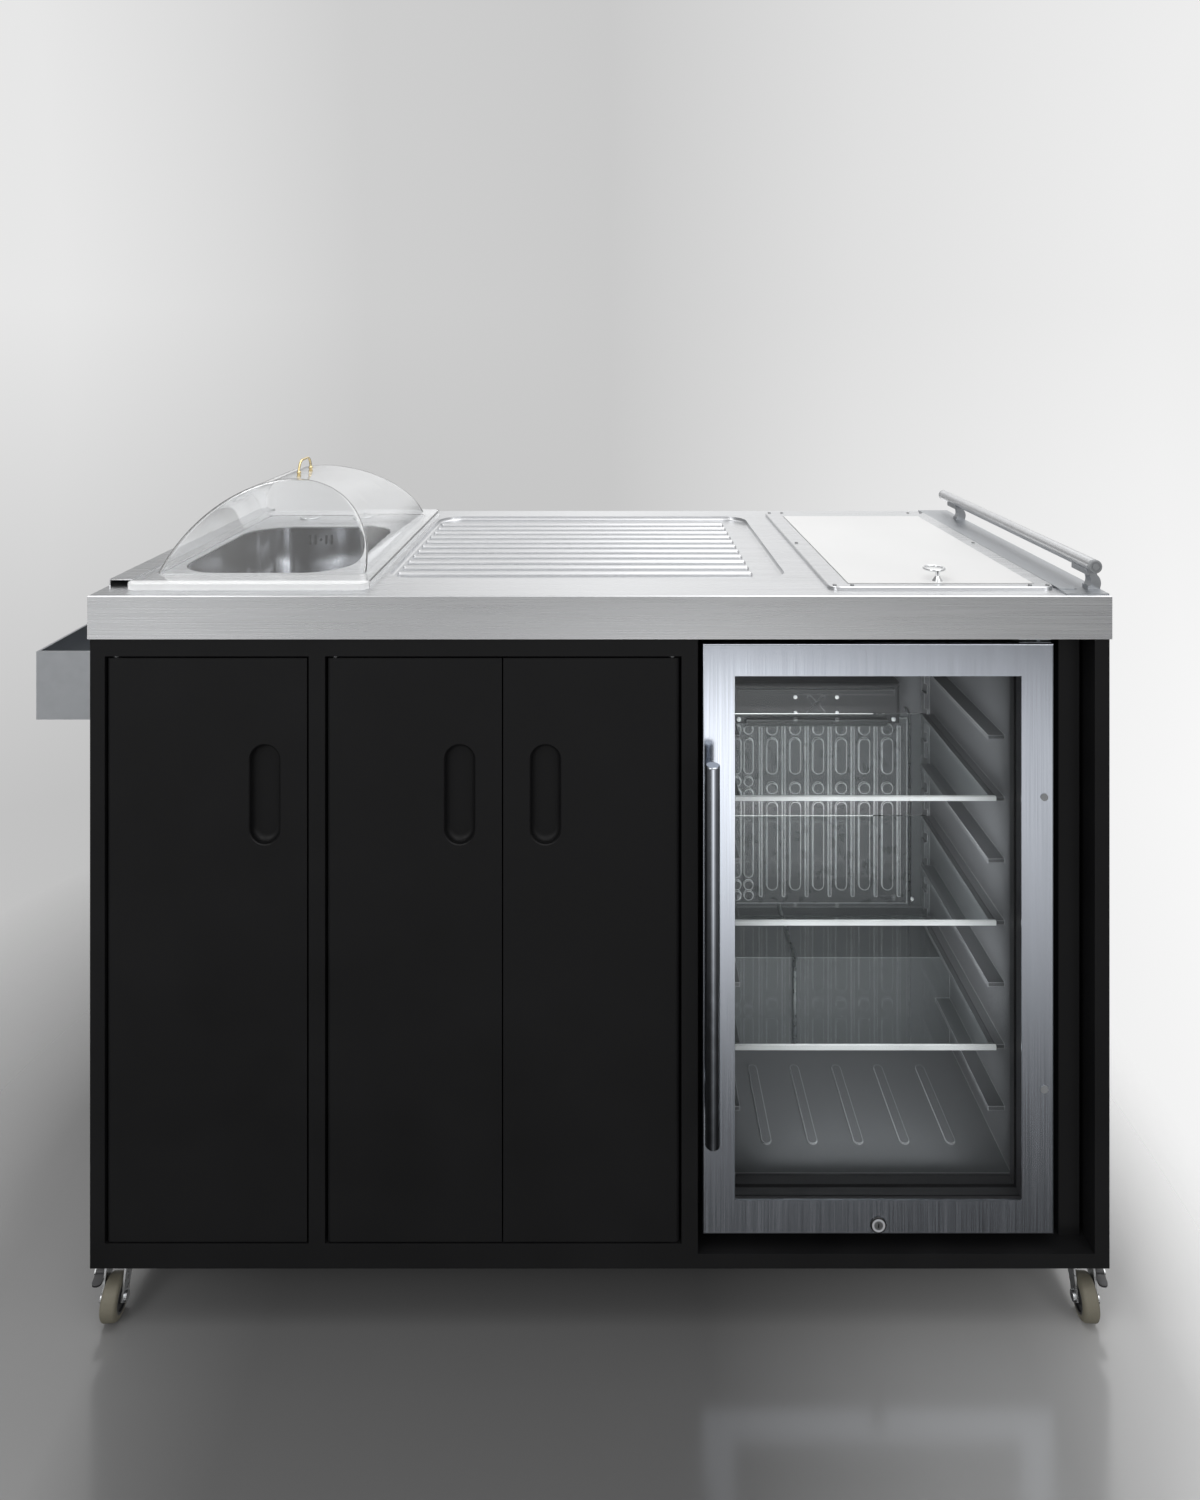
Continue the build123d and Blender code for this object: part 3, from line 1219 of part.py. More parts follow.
def caster_places():
    x = (cabinet_left + CASTER_SIDE_INSET, cabinet_right - CASTER_SIDE_INSET)
    y = (cabinet_front + CASTER_FRONT_INSET, cabinet_back - CASTER_REAR_INSET)
    return {"front_left": (x[0], y[0]), "front_right": (x[1], y[0]),
            "rear_left": (x[0], y[1]), "rear_right": (x[1], y[1])}


def turned(name, shape):
    x, y = caster_places()[name]
    return Pos(x, y, 0) * Rot(0, 0, CASTER_HEADINGS[name]) * shape


def caster_plates():
    """The plate under the base with its race and kingpin, four times."""
    plates = []
    for x, y in caster_places().values():
        plate = slab(x, y, CASTER_PLATE, CASTER_PLATE, (plate_under, BASE_HEIGHT), CASTER_PLATE_CORNER)
        plate += rod_z(x, y, (plate_under - CASTER_RACE_HEIGHT, plate_under), CASTER_RACE)
        plate += rod_z(x, y, (crown_under - CROWN_GAP, plate_under), KINGPIN)
        head = (crown_under - CROWN_GAP - KINGPIN_HEAD_HEIGHT, crown_under - CROWN_GAP)
        plates.append(plate + rod_z(x, y, head, KINGPIN_HEAD))
    return plates


def cheek_outline():
    """One side of the fork, seen along the axle."""
    eye = CHEEK_EYE
    points = [(CHEEK_TOP, crown_top), (-CHEEK_TOP, crown_top)]
    points += [(-CASTER_TRAIL - eye, axle_z), (-CASTER_TRAIL, axle_z - eye), (-CASTER_TRAIL + eye, axle_z)]
    return make_face(Polyline(*points, close=True))


def caster_fork():
    """The fork: crown plate, two cheeks and the riveted axle."""
    fork = rod_z(0, 0, (crown_under, crown_top), CROWN)
    outer = fork_half
    for x in (-outer, outer - CHEEK):
        fork += Pos(x, 0, 0) * extrude(Plane.YZ * cheek_outline(), CHEEK)
    fork -= rod_z(0, 0, (crown_under, crown_top), KINGPIN + 2 * RUNNING_FIT)
    fork += rod_x((-outer, outer), -CASTER_TRAIL, axle_z, AXLE)
    for x in ((-outer - AXLE_HEAD_HEIGHT, -outer), (outer, outer + AXLE_HEAD_HEIGHT)):
        fork += rod_x(x, -CASTER_TRAIL, axle_z, AXLE_HEAD)
    return fork


def pedal_pin(side):
    """The headed pin on the outer cheek that the pedal turns on."""
    end = fork_half + PEDAL_WIDTH + 2 * PEDAL_SIDE_GAP
    pin = rod_x((fork_half, end), -PEDAL_FORWARD, axle_z + PEDAL_RISE, PEDAL_PIN)
    head = (end, end + PEDAL_PIN_HEAD_HEIGHT)
    pin += rod_x(head, -PEDAL_FORWARD, axle_z + PEDAL_RISE, PEDAL_PIN_HEAD)
    return pin if side > 0 else mirror(pin, Plane.YZ)


def caster_wheel():
    """The wheel with its rounded tread and dished sides, bored for the axle."""
    half = WHEEL_WIDTH / 2
    wheel = rod_x((-half, half), -CASTER_TRAIL, axle_z, WHEEL_DIAMETER)
    wheel = fillet(wheel.edges().filter_by(GeomType.CIRCLE), WHEEL_ROUND)
    for x in ((-half, -half + HUB_DISH), (half - HUB_DISH, half)):
        dish = rod_x(x, -CASTER_TRAIL, axle_z, HUB_DIAMETER)
        wheel -= dish - rod_x(x, -CASTER_TRAIL, axle_z, HUB_BOSS)
    return wheel - rod_x((-half, half), -CASTER_TRAIL, axle_z, AXLE + 2 * RUNNING_FIT)


def brake_pedal(side):
    """The pedal on its pin beside the fork, drooping forward."""
    half = PEDAL_WIDTH / 2
    tongue = Pos(0, -PEDAL_LENGTH / 2, 0) * Box(PEDAL_WIDTH, PEDAL_LENGTH, PEDAL_THICKNESS)
    tongue = fillet(edges_at(tongue, Axis.Y, -PEDAL_LENGTH).filter_by(Axis.Z), PEDAL_CORNER)
    pedal = Rot(PEDAL_DROOP, 0, 0) * tongue + rod_x((-half, half), 0, 0, PEDAL_EYE)
    pedal -= rod_x((-half, half), 0, 0, PEDAL_PIN + 2 * RUNNING_FIT)
    return Pos(side * (fork_half + PEDAL_SIDE_GAP + half), -PEDAL_FORWARD, axle_z + PEDAL_RISE) * pedal


def save_casters():
    for name in CASTER_HEADINGS:
        fork = caster_fork()
        if name in BRAKE_SIDES:
            side = BRAKE_SIDES[name]
            fork += pedal_pin(side)
            save(f"{name}_brake_pedal", turned(name, brake_pedal(side)))
        save(f"{name}_fork", turned(name, fork))
        save(f"{name}_wheel", turned(name, caster_wheel()))


os.makedirs("parts", exist_ok=True)
save("base_panel", base_panel())
save("left_side_panel", side_panel(cabinet_left, left_bay[0]))
save("right_side_panel", side_panel(cabinet_right, fridge_bay[1]))
save("sink_bay_divider", sink_bay_divider())
save("fridge_bay_divider", divider(middle_bay[1]))
save("back_panel", back_panel())
save("front_rails", *front_rails())
save("door_pivot_pins", *door_pivot_pins())
save("niche_filler_strip", niche_filler_strip())
for door_name, door in cabinet_doors().items():
    save(door_name, door)
save("worktop", worktop())
save("sink_bowl", sink_bowl())
save("sink_waste", sink_waste())
save("tap_hole_plugs", *tap_hole_plugs())
save("edge_channel", edge_channel())
save("sink_cover", sink_cover())
save("cover_handle", cover_handle())
save("cold_pan", cold_pan())
save("pan_bezel", pan_bezel())
save("bezel_screws", *bezel_screws())
save("pan_lid", pan_lid())
save("lid_hinge_pins", *lid_hinge_pins())
save("lid_knob", lid_knob())
save("push_handle_plate", push_handle_plate())
save("push_handle_tube", push_handle_tube())
save("push_handle_caps", *push_handle_caps())
save("push_handle_brackets", *push_handle_brackets())
save("side_rack", side_rack())
save("rack_screws", *rack_screws())
save("fridge_cabinet", fridge_cabinet())
save("fridge_liner", fridge_liner())
save("shelf_glasses", *shelf_glasses())
save("shelf_trims", *shelf_trims())
save("evaporator_panel", evaporator_panel())
save("fan_housing", fan_housing())
save("compressor", compressor())
save("fridge_feet", *fridge_feet())
save("fridge_hinges", *fridge_hinges())
save("fridge_door_frame", fridge_door_frame())
save("fridge_door_panes", *fridge_door_panes())
save("pane_spacer", pane_spacer())
save("fridge_door_liner", fridge_door_liner())
save("fridge_door_gasket", fridge_door_gasket())
save("fridge_handle", fridge_handle())
save("door_hole_plugs", *door_hole_plugs())
save("lock_housing", lock_housing())
save("lock_barrel", lock_barrel())
save("caster_plates", *caster_plates())
save_casters()
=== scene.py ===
import json
import math

import bmesh
import bpy
from mathutils import Matrix, Vector

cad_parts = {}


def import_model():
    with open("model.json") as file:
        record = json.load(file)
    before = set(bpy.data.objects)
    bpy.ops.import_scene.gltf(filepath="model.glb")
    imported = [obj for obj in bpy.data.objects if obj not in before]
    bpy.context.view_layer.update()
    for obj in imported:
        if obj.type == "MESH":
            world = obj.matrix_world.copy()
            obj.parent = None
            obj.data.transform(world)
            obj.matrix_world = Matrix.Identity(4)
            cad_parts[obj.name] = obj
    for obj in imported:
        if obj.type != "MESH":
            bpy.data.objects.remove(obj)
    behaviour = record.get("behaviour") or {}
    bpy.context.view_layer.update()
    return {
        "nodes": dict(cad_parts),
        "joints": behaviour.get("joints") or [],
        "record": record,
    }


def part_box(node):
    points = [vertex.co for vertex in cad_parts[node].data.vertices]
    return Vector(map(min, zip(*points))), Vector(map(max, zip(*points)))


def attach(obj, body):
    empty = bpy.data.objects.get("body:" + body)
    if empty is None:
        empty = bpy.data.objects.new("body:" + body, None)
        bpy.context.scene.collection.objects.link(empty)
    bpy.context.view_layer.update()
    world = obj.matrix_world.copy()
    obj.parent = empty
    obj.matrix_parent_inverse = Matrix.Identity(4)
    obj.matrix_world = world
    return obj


# Portable outdoor kitchenette: the finish of every piece, softened edges, the screws and pipes
# inside the refrigerator, and a plain studio round it. Metres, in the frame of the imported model.

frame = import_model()
MM = 0.001

# Camera: level, in front of the middle, framed by shifting the lens
CAMERA_PLACE = (0.068, -1.5825, 1.349)
CAMERA_LENS = 22.7
CAMERA_SENSOR = 36.0
CAMERA_SHIFT = (-0.0067, -0.2753)

# Finish: where it changes on a piece, where painted sheen, painted shade and painted highlights lie, and how
# coarse its grain is, in millimetres
COVER_RIM = 10
COVER_RIM_FADE = 2
COVER_LIP = 12
COVER_LIP_FADE = 6
# Radius where the lock's painted sheen gives way to a rim of painted shade, and the width of that change
LOCK_RING = 8.4
LOCK_RING_EDGE = 1
PEBBLE = 1.1
COARSE_PEBBLE = 2
# Widths of the painted highlights along the edges of the cold plate and the liner
PLATE_PAINTED_HIGHLIGHT = 3.5
LINER_PAINTED_HIGHLIGHT = 2

# Share of a wheel that is hub, the cosines between which a painted highlight lightens a turning edge, and
# its samples
HUB_SHARE = 0.62
PAINTED_HIGHLIGHT_RANGE = (0.8, 0.99)
EDGE_SAMPLES = 8

# Range that holds most of a noise's values
NOISE_LOW = 0.3
NOISE_HIGH = 0.7

# Sockets of a colour mix: its share, its two colours and its result
MIX_SHARE, MIX_FIRST, MIX_SECOND, MIX_RESULT = 0, 6, 7, 2

# Painted reflections on the bowl's wall: its brightness by the side that it faces, from -1 to 1
BOWL_PAINTED_REFLECTIONS = ((-1, 0.5), (-0.5, 0.62), (0.15, 0.66), (0.35, 0.36), (0.6, 0.46), (0.75, 0.48),
              (0.82, 0.7), (0.88, 0.4), (1, 0.36))

# Screws and pipes inside the refrigerator, in millimetres; heads are given as diameter and height
SCREW_SEGMENTS = 20
SCREW_RINGS = 12
FAN_FACE = 8
FAN_SCREWS = (37, 14)
FAN_SCREW_HEAD = (7, 2)
HOUSING_SCREW = 138
HOUSING_SCREW_RISE = 10
HOUSING_SCREW_HEAD = (8, 2.5)
PLATE_SCREW = 184
PLATE_SCREW_RISE = 6
PLATE_SCREW_HEAD = (8, 3)
PIPE_OFF = 4
SUCTION_PIPE = 4
SUCTION_RISE = 4
SUCTION_END = (8, 18)
DRAIN_PIPE = 6
DRAIN_SIDE = 117
DRAIN_DROP = 140
STEP_DEPTH = 140
STEP_DROP = 11

# Lamps: name, place, target, size, watts, and whether they show in what shines
LAMPS = (
    ("overhead", (-0.3, 0.2, 3.2), (0, 0, 0.9), (3.0, 2.6), 44, False),
    ("front_left", (-2.6, -3.2, 2.4), (0, 0, 0.5), (1.6, 2.2), 30, True),
    ("front_right", (2.8, -3.0, 1.8), (0, 0, 0.5), (1.2, 2.0), 12, True),
)

# Light inside the refrigerator: watts of each space from the bottom up, and its panel
SPACE_POWERS = (0.5, 1.15, 1.3, 0.8)
SPACE_PANEL = (0.3, 0.09)
SPACE_FRONT = 0.002
SPACE_TILT = 0.03

# Studio that shows in what shines: brightness by the height and the side of the direction,
# which run from -1 to 1. Each later run of sides takes over between two heights.
STUDIO_ROWS = ((-1, 0.03), (-0.66, 0.035), (-0.58, 0.13), (-0.5, 0.54), (-0.42, 0.88), (-0.33, 0.98),
               (-0.3, 0.82), (-0.26, 0.14), (-0.08, 0.2), (0.1, 1.1), (0.2, 1.1), (0.27, 0.98),
               (0.5, 1), (0.8, 1.6))
STUDIO_LOWEST_SIDES = ((-1, 0.1), (-0.5, 0.2), (-0.1, 1.2), (0, 2.2), (0.14, 2.2), (0.24, 1.3),
                       (0.36, 0.92), (0.45, 0.9), (0.6, 0.3), (1, 0.1))
STUDIO_SIDES_ABOVE = (
    (-0.36, -0.31, ((-1, 0.4), (-0.6, 2), (-0.46, 3.6), (-0.36, 2.3), (-0.28, 1.1), (0, 0.42), (0.1, 0.54),
                    (0.3, 0.76), (0.42, 0.56), (1, 0.3))),
    (-0.02, 0.02, ((-1, 0.3), (-0.45, 0.3), (-0.38, 0.45), (-0.15, 0.95), (0, 1.13), (0.2, 0.85), (1, 0.6))),
    (0.4, 0.6, ((-1, 0.3), (-0.6, 0.25), (-0.45, 2.2), (-0.3, 0.3), (0, 0.7), (0.2, 2), (0.6, 0.9),
                (1, 0.3))),
)

# Backdrop that the camera sees, by the side, low down and from the camera's height upwards
BACKDROP_END = 0.5
BACKDROP_HEIGHTS = (-0.39, 0.03)
BACKDROP_LOW_SIDES = ((-0.5, 0.54), (-0.25, 0.5), (0, 0.56), (0.25, 0.8), (0.5, 0.94))
BACKDROP_SIDES = ((-0.5, 0.8), (-0.25, 0.62), (0, 0.59), (0.25, 0.74), (0.5, 0.85))
EVEN_LIGHT = 0.45

# Floor: its grey by the side, painted light and painted shade in bands, and where it fades out, in metres
FLOOR_PAINTED_LIGHT = ((-1, 0.16), (-0.8, 0.18), (-0.62, 0.27), (-0.4, 0.18), (0.2, 0.17), (0.47, 0.36),
               (0.62, 0.42), (0.8, 0.65), (1, 0.9))
FLOOR_SEGMENTS = 96
FLOOR_FADE = 0.85
FLOOR_END = 1.5
FLOOR_RIGHT = (0.8, 1.05)

# Rounding of sharp edges, in millimetres
SOFT_EDGES = {
    "base_panel": 0.8, "left_side_panel": 0.8, "right_side_panel": 0.8, "front_rails": 0.6,
    "sink_bay_divider": 0.6, "fridge_bay_divider": 0.6, "niche_filler_strip": 0.8,
    "left_door": 0.8, "middle_left_door": 0.8, "middle_right_door": 0.8,
    "fridge_door_frame": 0.8, "pan_lid": 1.0, "shelf_trims": 1.2, "push_handle_plate": 0.6,
    "evaporator_panel": 1.6, "fan_housing": 1.2, "fridge_liner": 1.2,
}
EDGE_SEGMENTS = 2
FLAT_ANGLE = math.radians(0.4)
SHARP_ANGLE = math.radians(35)


# Node helpers

def add(tree, kind, **values):
    """A shader node, with its settings and its unlinked sockets set by name."""
    made = tree.nodes.new(kind)
    for name, value in values.items():
        socket = made.inputs.get(name.replace("_", " ").title())
        if socket is not None:
            socket.default_value = value
        else:
            setattr(made, name, value)
    return made


def finish(name, color, roughness, metallic=0.0, **sockets):
    """A material of one principled shader, with its even values set on the shader."""
    material = bpy.data.materials.new(name)
    material.use_nodes = True
    shader = material.node_tree.nodes["Principled BSDF"]
    shader.inputs["Base Color"].default_value = (*color, 1)
    shader.inputs["Roughness"].default_value = roughness
    shader.inputs["Metallic"].default_value = metallic
    for socket, value in sockets.items():
        shader.inputs[socket.replace("_", " ")].default_value = value
    return material, material.node_tree, shader


def grain(tree, scale, detail, stretch=(1, 1, 1)):
    """Noise in the object's own coordinates, drawn out along the axes with a small stretch."""
    place = add(tree, "ShaderNodeTexCoord")
    mapping = add(tree, "ShaderNodeMapping")
    mapping.inputs["Scale"].default_value = stretch
    noise = add(tree, "ShaderNodeTexNoise", scale=scale, detail=detail)
    tree.links.new(place.outputs["Object"], mapping.inputs["Vector"])
    tree.links.new(mapping.outputs["Vector"], noise.inputs["Vector"])
    return noise.outputs["Fac"]


def spread(tree, socket, low, high, start=NOISE_LOW, end=NOISE_HIGH):
    """One range of the socket, or most of a noise, mapped to the range between two values."""
    reach = add(tree, "ShaderNodeMapRange")
    reach.inputs["From Min"].default_value = start
    reach.inputs["From Max"].default_value = end
    reach.inputs["To Min"].default_value = low
    reach.inputs["To Max"].default_value = high
    tree.links.new(socket, reach.inputs["Value"])
    return reach.outputs["Result"]


def ramp(tree, socket, low, high, stops):
    """Grey values at given places between two ends of a socket's range."""
    share = spread(tree, socket, 0, 1, low, high)
    made = add(tree, "ShaderNodeValToRGB")
    elements = made.color_ramp.elements
    while len(elements) < len(stops):
        elements.new(0.5)
    for element, (place, value) in zip(elements, stops):
        element.position = (place - low) / (high - low)
        element.color = (value, value, value, 1)
    tree.links.new(share, made.inputs["Fac"])
    return made.outputs["Color"]


def blended(tree, share, first, second):
    """One colour or the other, by a share from nought to one."""
    mix = add(tree, "ShaderNodeMix", data_type="RGBA")
    tree.links.new(share, mix.inputs[MIX_SHARE])
    tree.links.new(first, mix.inputs[MIX_FIRST])
    tree.links.new(second, mix.inputs[MIX_SECOND])
    return mix.outputs[MIX_RESULT]


def scaled(tree, first, second):
    """Two grey values multiplied."""
    mix = add(tree, "ShaderNodeMix", data_type="RGBA", blend_type="MULTIPLY")
    mix.inputs[MIX_SHARE].default_value = 1
    tree.links.new(first, mix.inputs[MIX_FIRST])
    tree.links.new(second, mix.inputs[MIX_SECOND])
    return mix.outputs[MIX_RESULT]


def tint(tree, shader, socket, low_color, high_color, start=NOISE_LOW, end=NOISE_HIGH):
    """Base colour that runs between two colours with the socket."""
    run = add(tree, "ShaderNodeValToRGB")
    first, second = run.color_ramp.elements
    first.position, second.position = start, end
    first.color = (*low_color, 1)
    second.color = (*high_color, 1)
    tree.links.new(socket, run.inputs["Fac"])
    tree.links.new(run.outputs["Color"], shader.inputs["Base Color"])


def relief(tree, shader, socket, depth, strength=1.0):
    """Bump of a depth in metres."""
    bump = add(tree, "ShaderNodeBump", strength=strength, distance=depth)
    tree.links.new(socket, bump.inputs["Height"])
    tree.links.new(bump.outputs["Normal"], shader.inputs["Normal"])


def vary_roughness(tree, shader, socket, low, high):
    """Roughness that runs between two values with a noise."""
    tree.links.new(spread(tree, socket, low, high), shader.inputs["Roughness"])


def shade(color, factor):
    """A colour made darker or lighter."""
    return tuple(min(1.0, part * factor) for part in color)


def painted_edge_highlight(tree, shader, color, radius, light):
    """Painted highlight: lightens the base colour along the edges of a form, where rounded shoulders would
    catch the light.
    """
    rounded = add(tree, "ShaderNodeBevel", radius=radius * MM, samples=EDGE_SAMPLES)
    surface = add(tree, "ShaderNodeNewGeometry")
    turn = add(tree, "ShaderNodeVectorMath", operation="DOT_PRODUCT")
    tree.links.new(rounded.outputs["Normal"], turn.inputs[0])
    tree.links.new(surface.outputs["True Normal"], turn.inputs[1])
    tint(tree, shader, turn.outputs["Value"], light, color, *PAINTED_HIGHLIGHT_RANGE)


def pass_lamps(material, tree, shader):
    """Lets the lamps' light through clear material, so that what is behind it is lit."""
    path = add(tree, "ShaderNodeLightPath")
    clear = add(tree, "ShaderNodeBsdfTransparent")
    mix = add(tree, "ShaderNodeMixShader")
    output = tree.nodes["Material Output"]
    tree.links.new(path.outputs["Is Shadow Ray"], mix.inputs["Fac"])
    tree.links.new(shader.outputs["BSDF"], mix.inputs[1])
    tree.links.new(clear.outputs["BSDF"], mix.inputs[2])
    tree.links.new(mix.outputs["Shader"], output.inputs["Surface"])
    return material


# Materials

def black_laminate():
    """Matt black board with a fine pebbled skin."""
    color = (0.0075, 0.0075, 0.008)
    material, tree, shader = finish("black_laminate", color, 0.5, Specular_IOR_Level=0.2)
    pebble = grain(tree, 1400, 2)
    cloud = grain(tree, 9, 4)
    tint(tree, shader, cloud, shade(color, 0.85), shade(color, 1.2))
    vary_roughness(tree, shader, cloud, 0.44, 0.56)
    relief(tree, shader, pebble, 0.03 * MM)
    return material


def brushed(name, color, roughness, along, depth=0.012):
    """Brushed steel: fine streaks along one axis, in the colour, the gloss and the surface."""
    material, tree, shader = finish(name, color, roughness, 1.0)
    fine = [5.0 if axis == along else 1100.0 for axis in "XYZ"]
    coarse = [0.8 if axis == along else 60.0 for axis in "XYZ"]
    streaks = grain(tree, 1, 4, fine)
    bands = grain(tree, 1, 2, coarse)
    tint(tree, shader, bands, shade(color, 0.97), shade(color, 1.03))
    vary_roughness(tree, shader, streaks, roughness - 0.07, roughness + 0.07)
    relief(tree, shader, streaks, depth * MM, 0.6)
    return material


def drawn_steel():
    """Deep drawn bowl: satin steel with upright drawing streaks, and painted reflections in bands round its
    corners.
    """
    color = (0.74, 0.75, 0.77)
    material, tree, shader = finish("drawn_steel", color, 0.1, 1.0)
    streaks = grain(tree, 1, 3, (130, 130, 3))
    fine = grain(tree, 1, 3, (900, 900, 12))
    surface = add(tree, "ShaderNodeNewGeometry")
    facing = add(tree, "ShaderNodeSeparateXYZ")
    tree.links.new(surface.outputs["Normal"], facing.inputs["Vector"])
    # Painted reflections: the wall darkens and lightens in bands by the side that it faces
    tint(tree, shader, ramp(tree, facing.outputs["X"], -1, 1, BOWL_PAINTED_REFLECTIONS), shade(color, 0.3), color)
    vary_roughness(tree, shader, fine, 0.07, 0.14)
    relief(tree, shader, streaks, 0.05 * MM, 0.5)
    return material


def polished(name, color, roughness):
    """Polished metal with faint smears."""
    material, tree, shader = finish(name, color, roughness, 1.0)
    smear = grain(tree, 60, 3)
    vary_roughness(tree, shader, smear, roughness * 0.7, roughness * 1.5)
    tint(tree, shader, smear, shade(color, 0.95), shade(color, 1.03))
    return material


def cold_plate():
    """Pressed metal with a painted highlight along the edges of its channels."""
    color = (0.09, 0.092, 0.097)
    material, tree, shader = finish("cold_plate", color, 0.3, 0.2)
    smear = grain(tree, 60, 3)
    vary_roughness(tree, shader, smear, 0.24, 0.38)
    # Painted highlight: pale colour along the channel edges
    painted_edge_highlight(tree, shader, color, PLATE_PAINTED_HIGHLIGHT, (0.66, 0.67, 0.69))
    return material


def edged(name, color, roughness, light):
    """Moulded plastic with a fine leathery grain, and a painted highlight along its edges."""
    material, tree, shader = finish(name, color, roughness)
    pebble = grain(tree, 1 / (COARSE_PEBBLE * MM), 2)
    vary_roughness(tree, shader, pebble, roughness - 0.06, roughness + 0.08)
    painted_edge_highlight(tree, shader, color, LINER_PAINTED_HIGHLIGHT, light)
    return material


def clear_plastic():
    """Clear moulded plastic, a little hazy where hands touch it and milky along its front lip."""
    material, tree, shader = finish("clear_plastic", (0.97, 0.975, 0.98), 0.03, IOR=1.26)
    haze = grain(tree, 14, 3)
    vary_roughness(tree, shader, haze, 0.015, 0.06)
    place = add(tree, "ShaderNodeTexCoord")
    spot = add(tree, "ShaderNodeSeparateXYZ")
    tree.links.new(place.outputs["Object"], spot.inputs["Vector"])
    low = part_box("sink_cover")[0]
    rim = low.z + COVER_RIM * MM
    lip = low.y + COVER_LIP * MM
    above = spread(tree, spot.outputs["Z"], 0, 1, rim, rim + COVER_RIM_FADE * MM)
    behind = spread(tree, spot.outputs["Y"], 0, 1, lip, lip + COVER_LIP_FADE * MM)
    either = add(tree, "ShaderNodeMath", operation="MAXIMUM")
    tree.links.new(above, either.inputs[0])
    tree.links.new(behind, either.inputs[1])
    clear = spread(tree, either.outputs["Value"], 0.4, 0.97, 0, 1)
    tree.links.new(clear, shader.inputs["Transmission Weight"])
    return pass_lamps(material, tree, shader)


def clear_glass(name, color, bending):
    """Flat glass with a very slight waviness."""
    material, tree, shader = finish(name, color, 0.0, IOR=bending, Transmission_Weight=1.0)
    wave = grain(tree, 7, 1)
    relief(tree, shader, wave, 0.02 * MM, 0.3)
    return pass_lamps(material, tree, shader)


def white_board():
    """Smooth white board with a faint eggshell grain."""
    color = (0.8, 0.8, 0.798)
    material, tree, shader = finish("white_board", color, 0.32)
    cloud = grain(tree, 5, 3)
    shell = grain(tree, 700, 2)
    tint(tree, shader, cloud, shade(color, 0.975), shade(color, 1.02))
    vary_roughness(tree, shader, cloud, 0.28, 0.4)
    relief(tree, shader, shell, 0.008 * MM)
    return material


def moulded(name, color, roughness):
    """Moulded plastic or rubber with a fine leathery grain."""
    material, tree, shader = finish(name, color, roughness)
    pebble = grain(tree, 1 / (PEBBLE * MM), 2)
    cloud = grain(tree, 12, 3)
    tint(tree, shader, cloud, shade(color, 0.9), shade(color, 1.12))
    vary_roughness(tree, shader, pebble, roughness - 0.06, roughness + 0.08)
    relief(tree, shader, pebble, 0.025 * MM)
    return material


def painted(name, color, roughness):
    """Sprayed paint with a slight orange peel."""
    material, tree, shader = finish(name, color, roughness)
    peel = grain(tree, 420, 2)
    tint(tree, shader, peel, shade(color, 0.92), shade(color, 1.08))
    vary_roughness(tree, shader, peel, roughness - 0.05, roughness + 0.05)
    relief(tree, shader, peel, 0.03 * MM)
    return material


def zinc():
    """Bright zinc plating with a cloudy spangle."""
    color = (0.6, 0.61, 0.62)
    material, tree, shader = finish("zinc", color, 0.3, 1.0)
    spangle = grain(tree, 140, 3)
    tint(tree, shader, spangle, shade(color, 0.92), shade(color, 1.06))
    vary_roughness(tree, shader, spangle, 0.24, 0.36)
    return material


def from_axis(tree, joint):
    """The distance from a joint's axis."""
    place = add(tree, "ShaderNodeTexCoord")
    arm = add(tree, "ShaderNodeVectorMath", operation="SUBTRACT")
    arm.inputs[1].default_value = joint["pos_m"]
    across = add(tree, "ShaderNodeVectorMath", operation="CROSS_PRODUCT")
    across.inputs[1].default_value = joint["axis"]
    length = add(tree, "ShaderNodeVectorMath", operation="LENGTH")
    tree.links.new(place.outputs["Object"], arm.inputs[0])
    tree.links.new(arm.outputs["Vector"], across.inputs[0])
    tree.links.new(across.outputs["Vector"], length.inputs[0])
    return length.outputs["Value"]


def painted_lock_ring(joint):
    """A pale ring painted in place of chrome's sheen, in a dark rim of painted shade for the gap round it,
    parted by the distance from the barrel's axis.
    """
    # Painted sheen for the ring, and painted shade for the rim
    bright = (0.6, 0.61, 0.64)
    rim = (0.008, 0.008, 0.009)
    material, tree, shader = finish("painted_lock_ring", bright, 0.22)
    outer = LOCK_RING + LOCK_RING_EDGE
    share = spread(tree, from_axis(tree, joint), 0, 1, LOCK_RING * MM, outer * MM)
    tint(tree, shader, share, bright, rim)
    smear = grain(tree, 60, 3)
    vary_roughness(tree, shader, smear, 0.16, 0.3)
    return material


def wheel_rubber(joint, tread_radius, hub_radius):
    """Grey brown tread round a dark hub, parted by the distance from the axle."""
    tread = (0.2, 0.185, 0.14)
    hub = (0.035, 0.035, 0.036)
    material, tree, shader = finish("tread_" + joint["name"], tread, 0.6)
    edge = (hub_radius + tread_radius) / 2
    share = spread(tree, from_axis(tree, joint), 0, 1, hub_radius, edge)
    tint(tree, shader, share, hub, tread)
    scuff = grain(tree, 500, 3)
    vary_roughness(tree, shader, scuff, 0.5, 0.75)
    relief(tree, shader, scuff, 0.05 * MM)
    return material


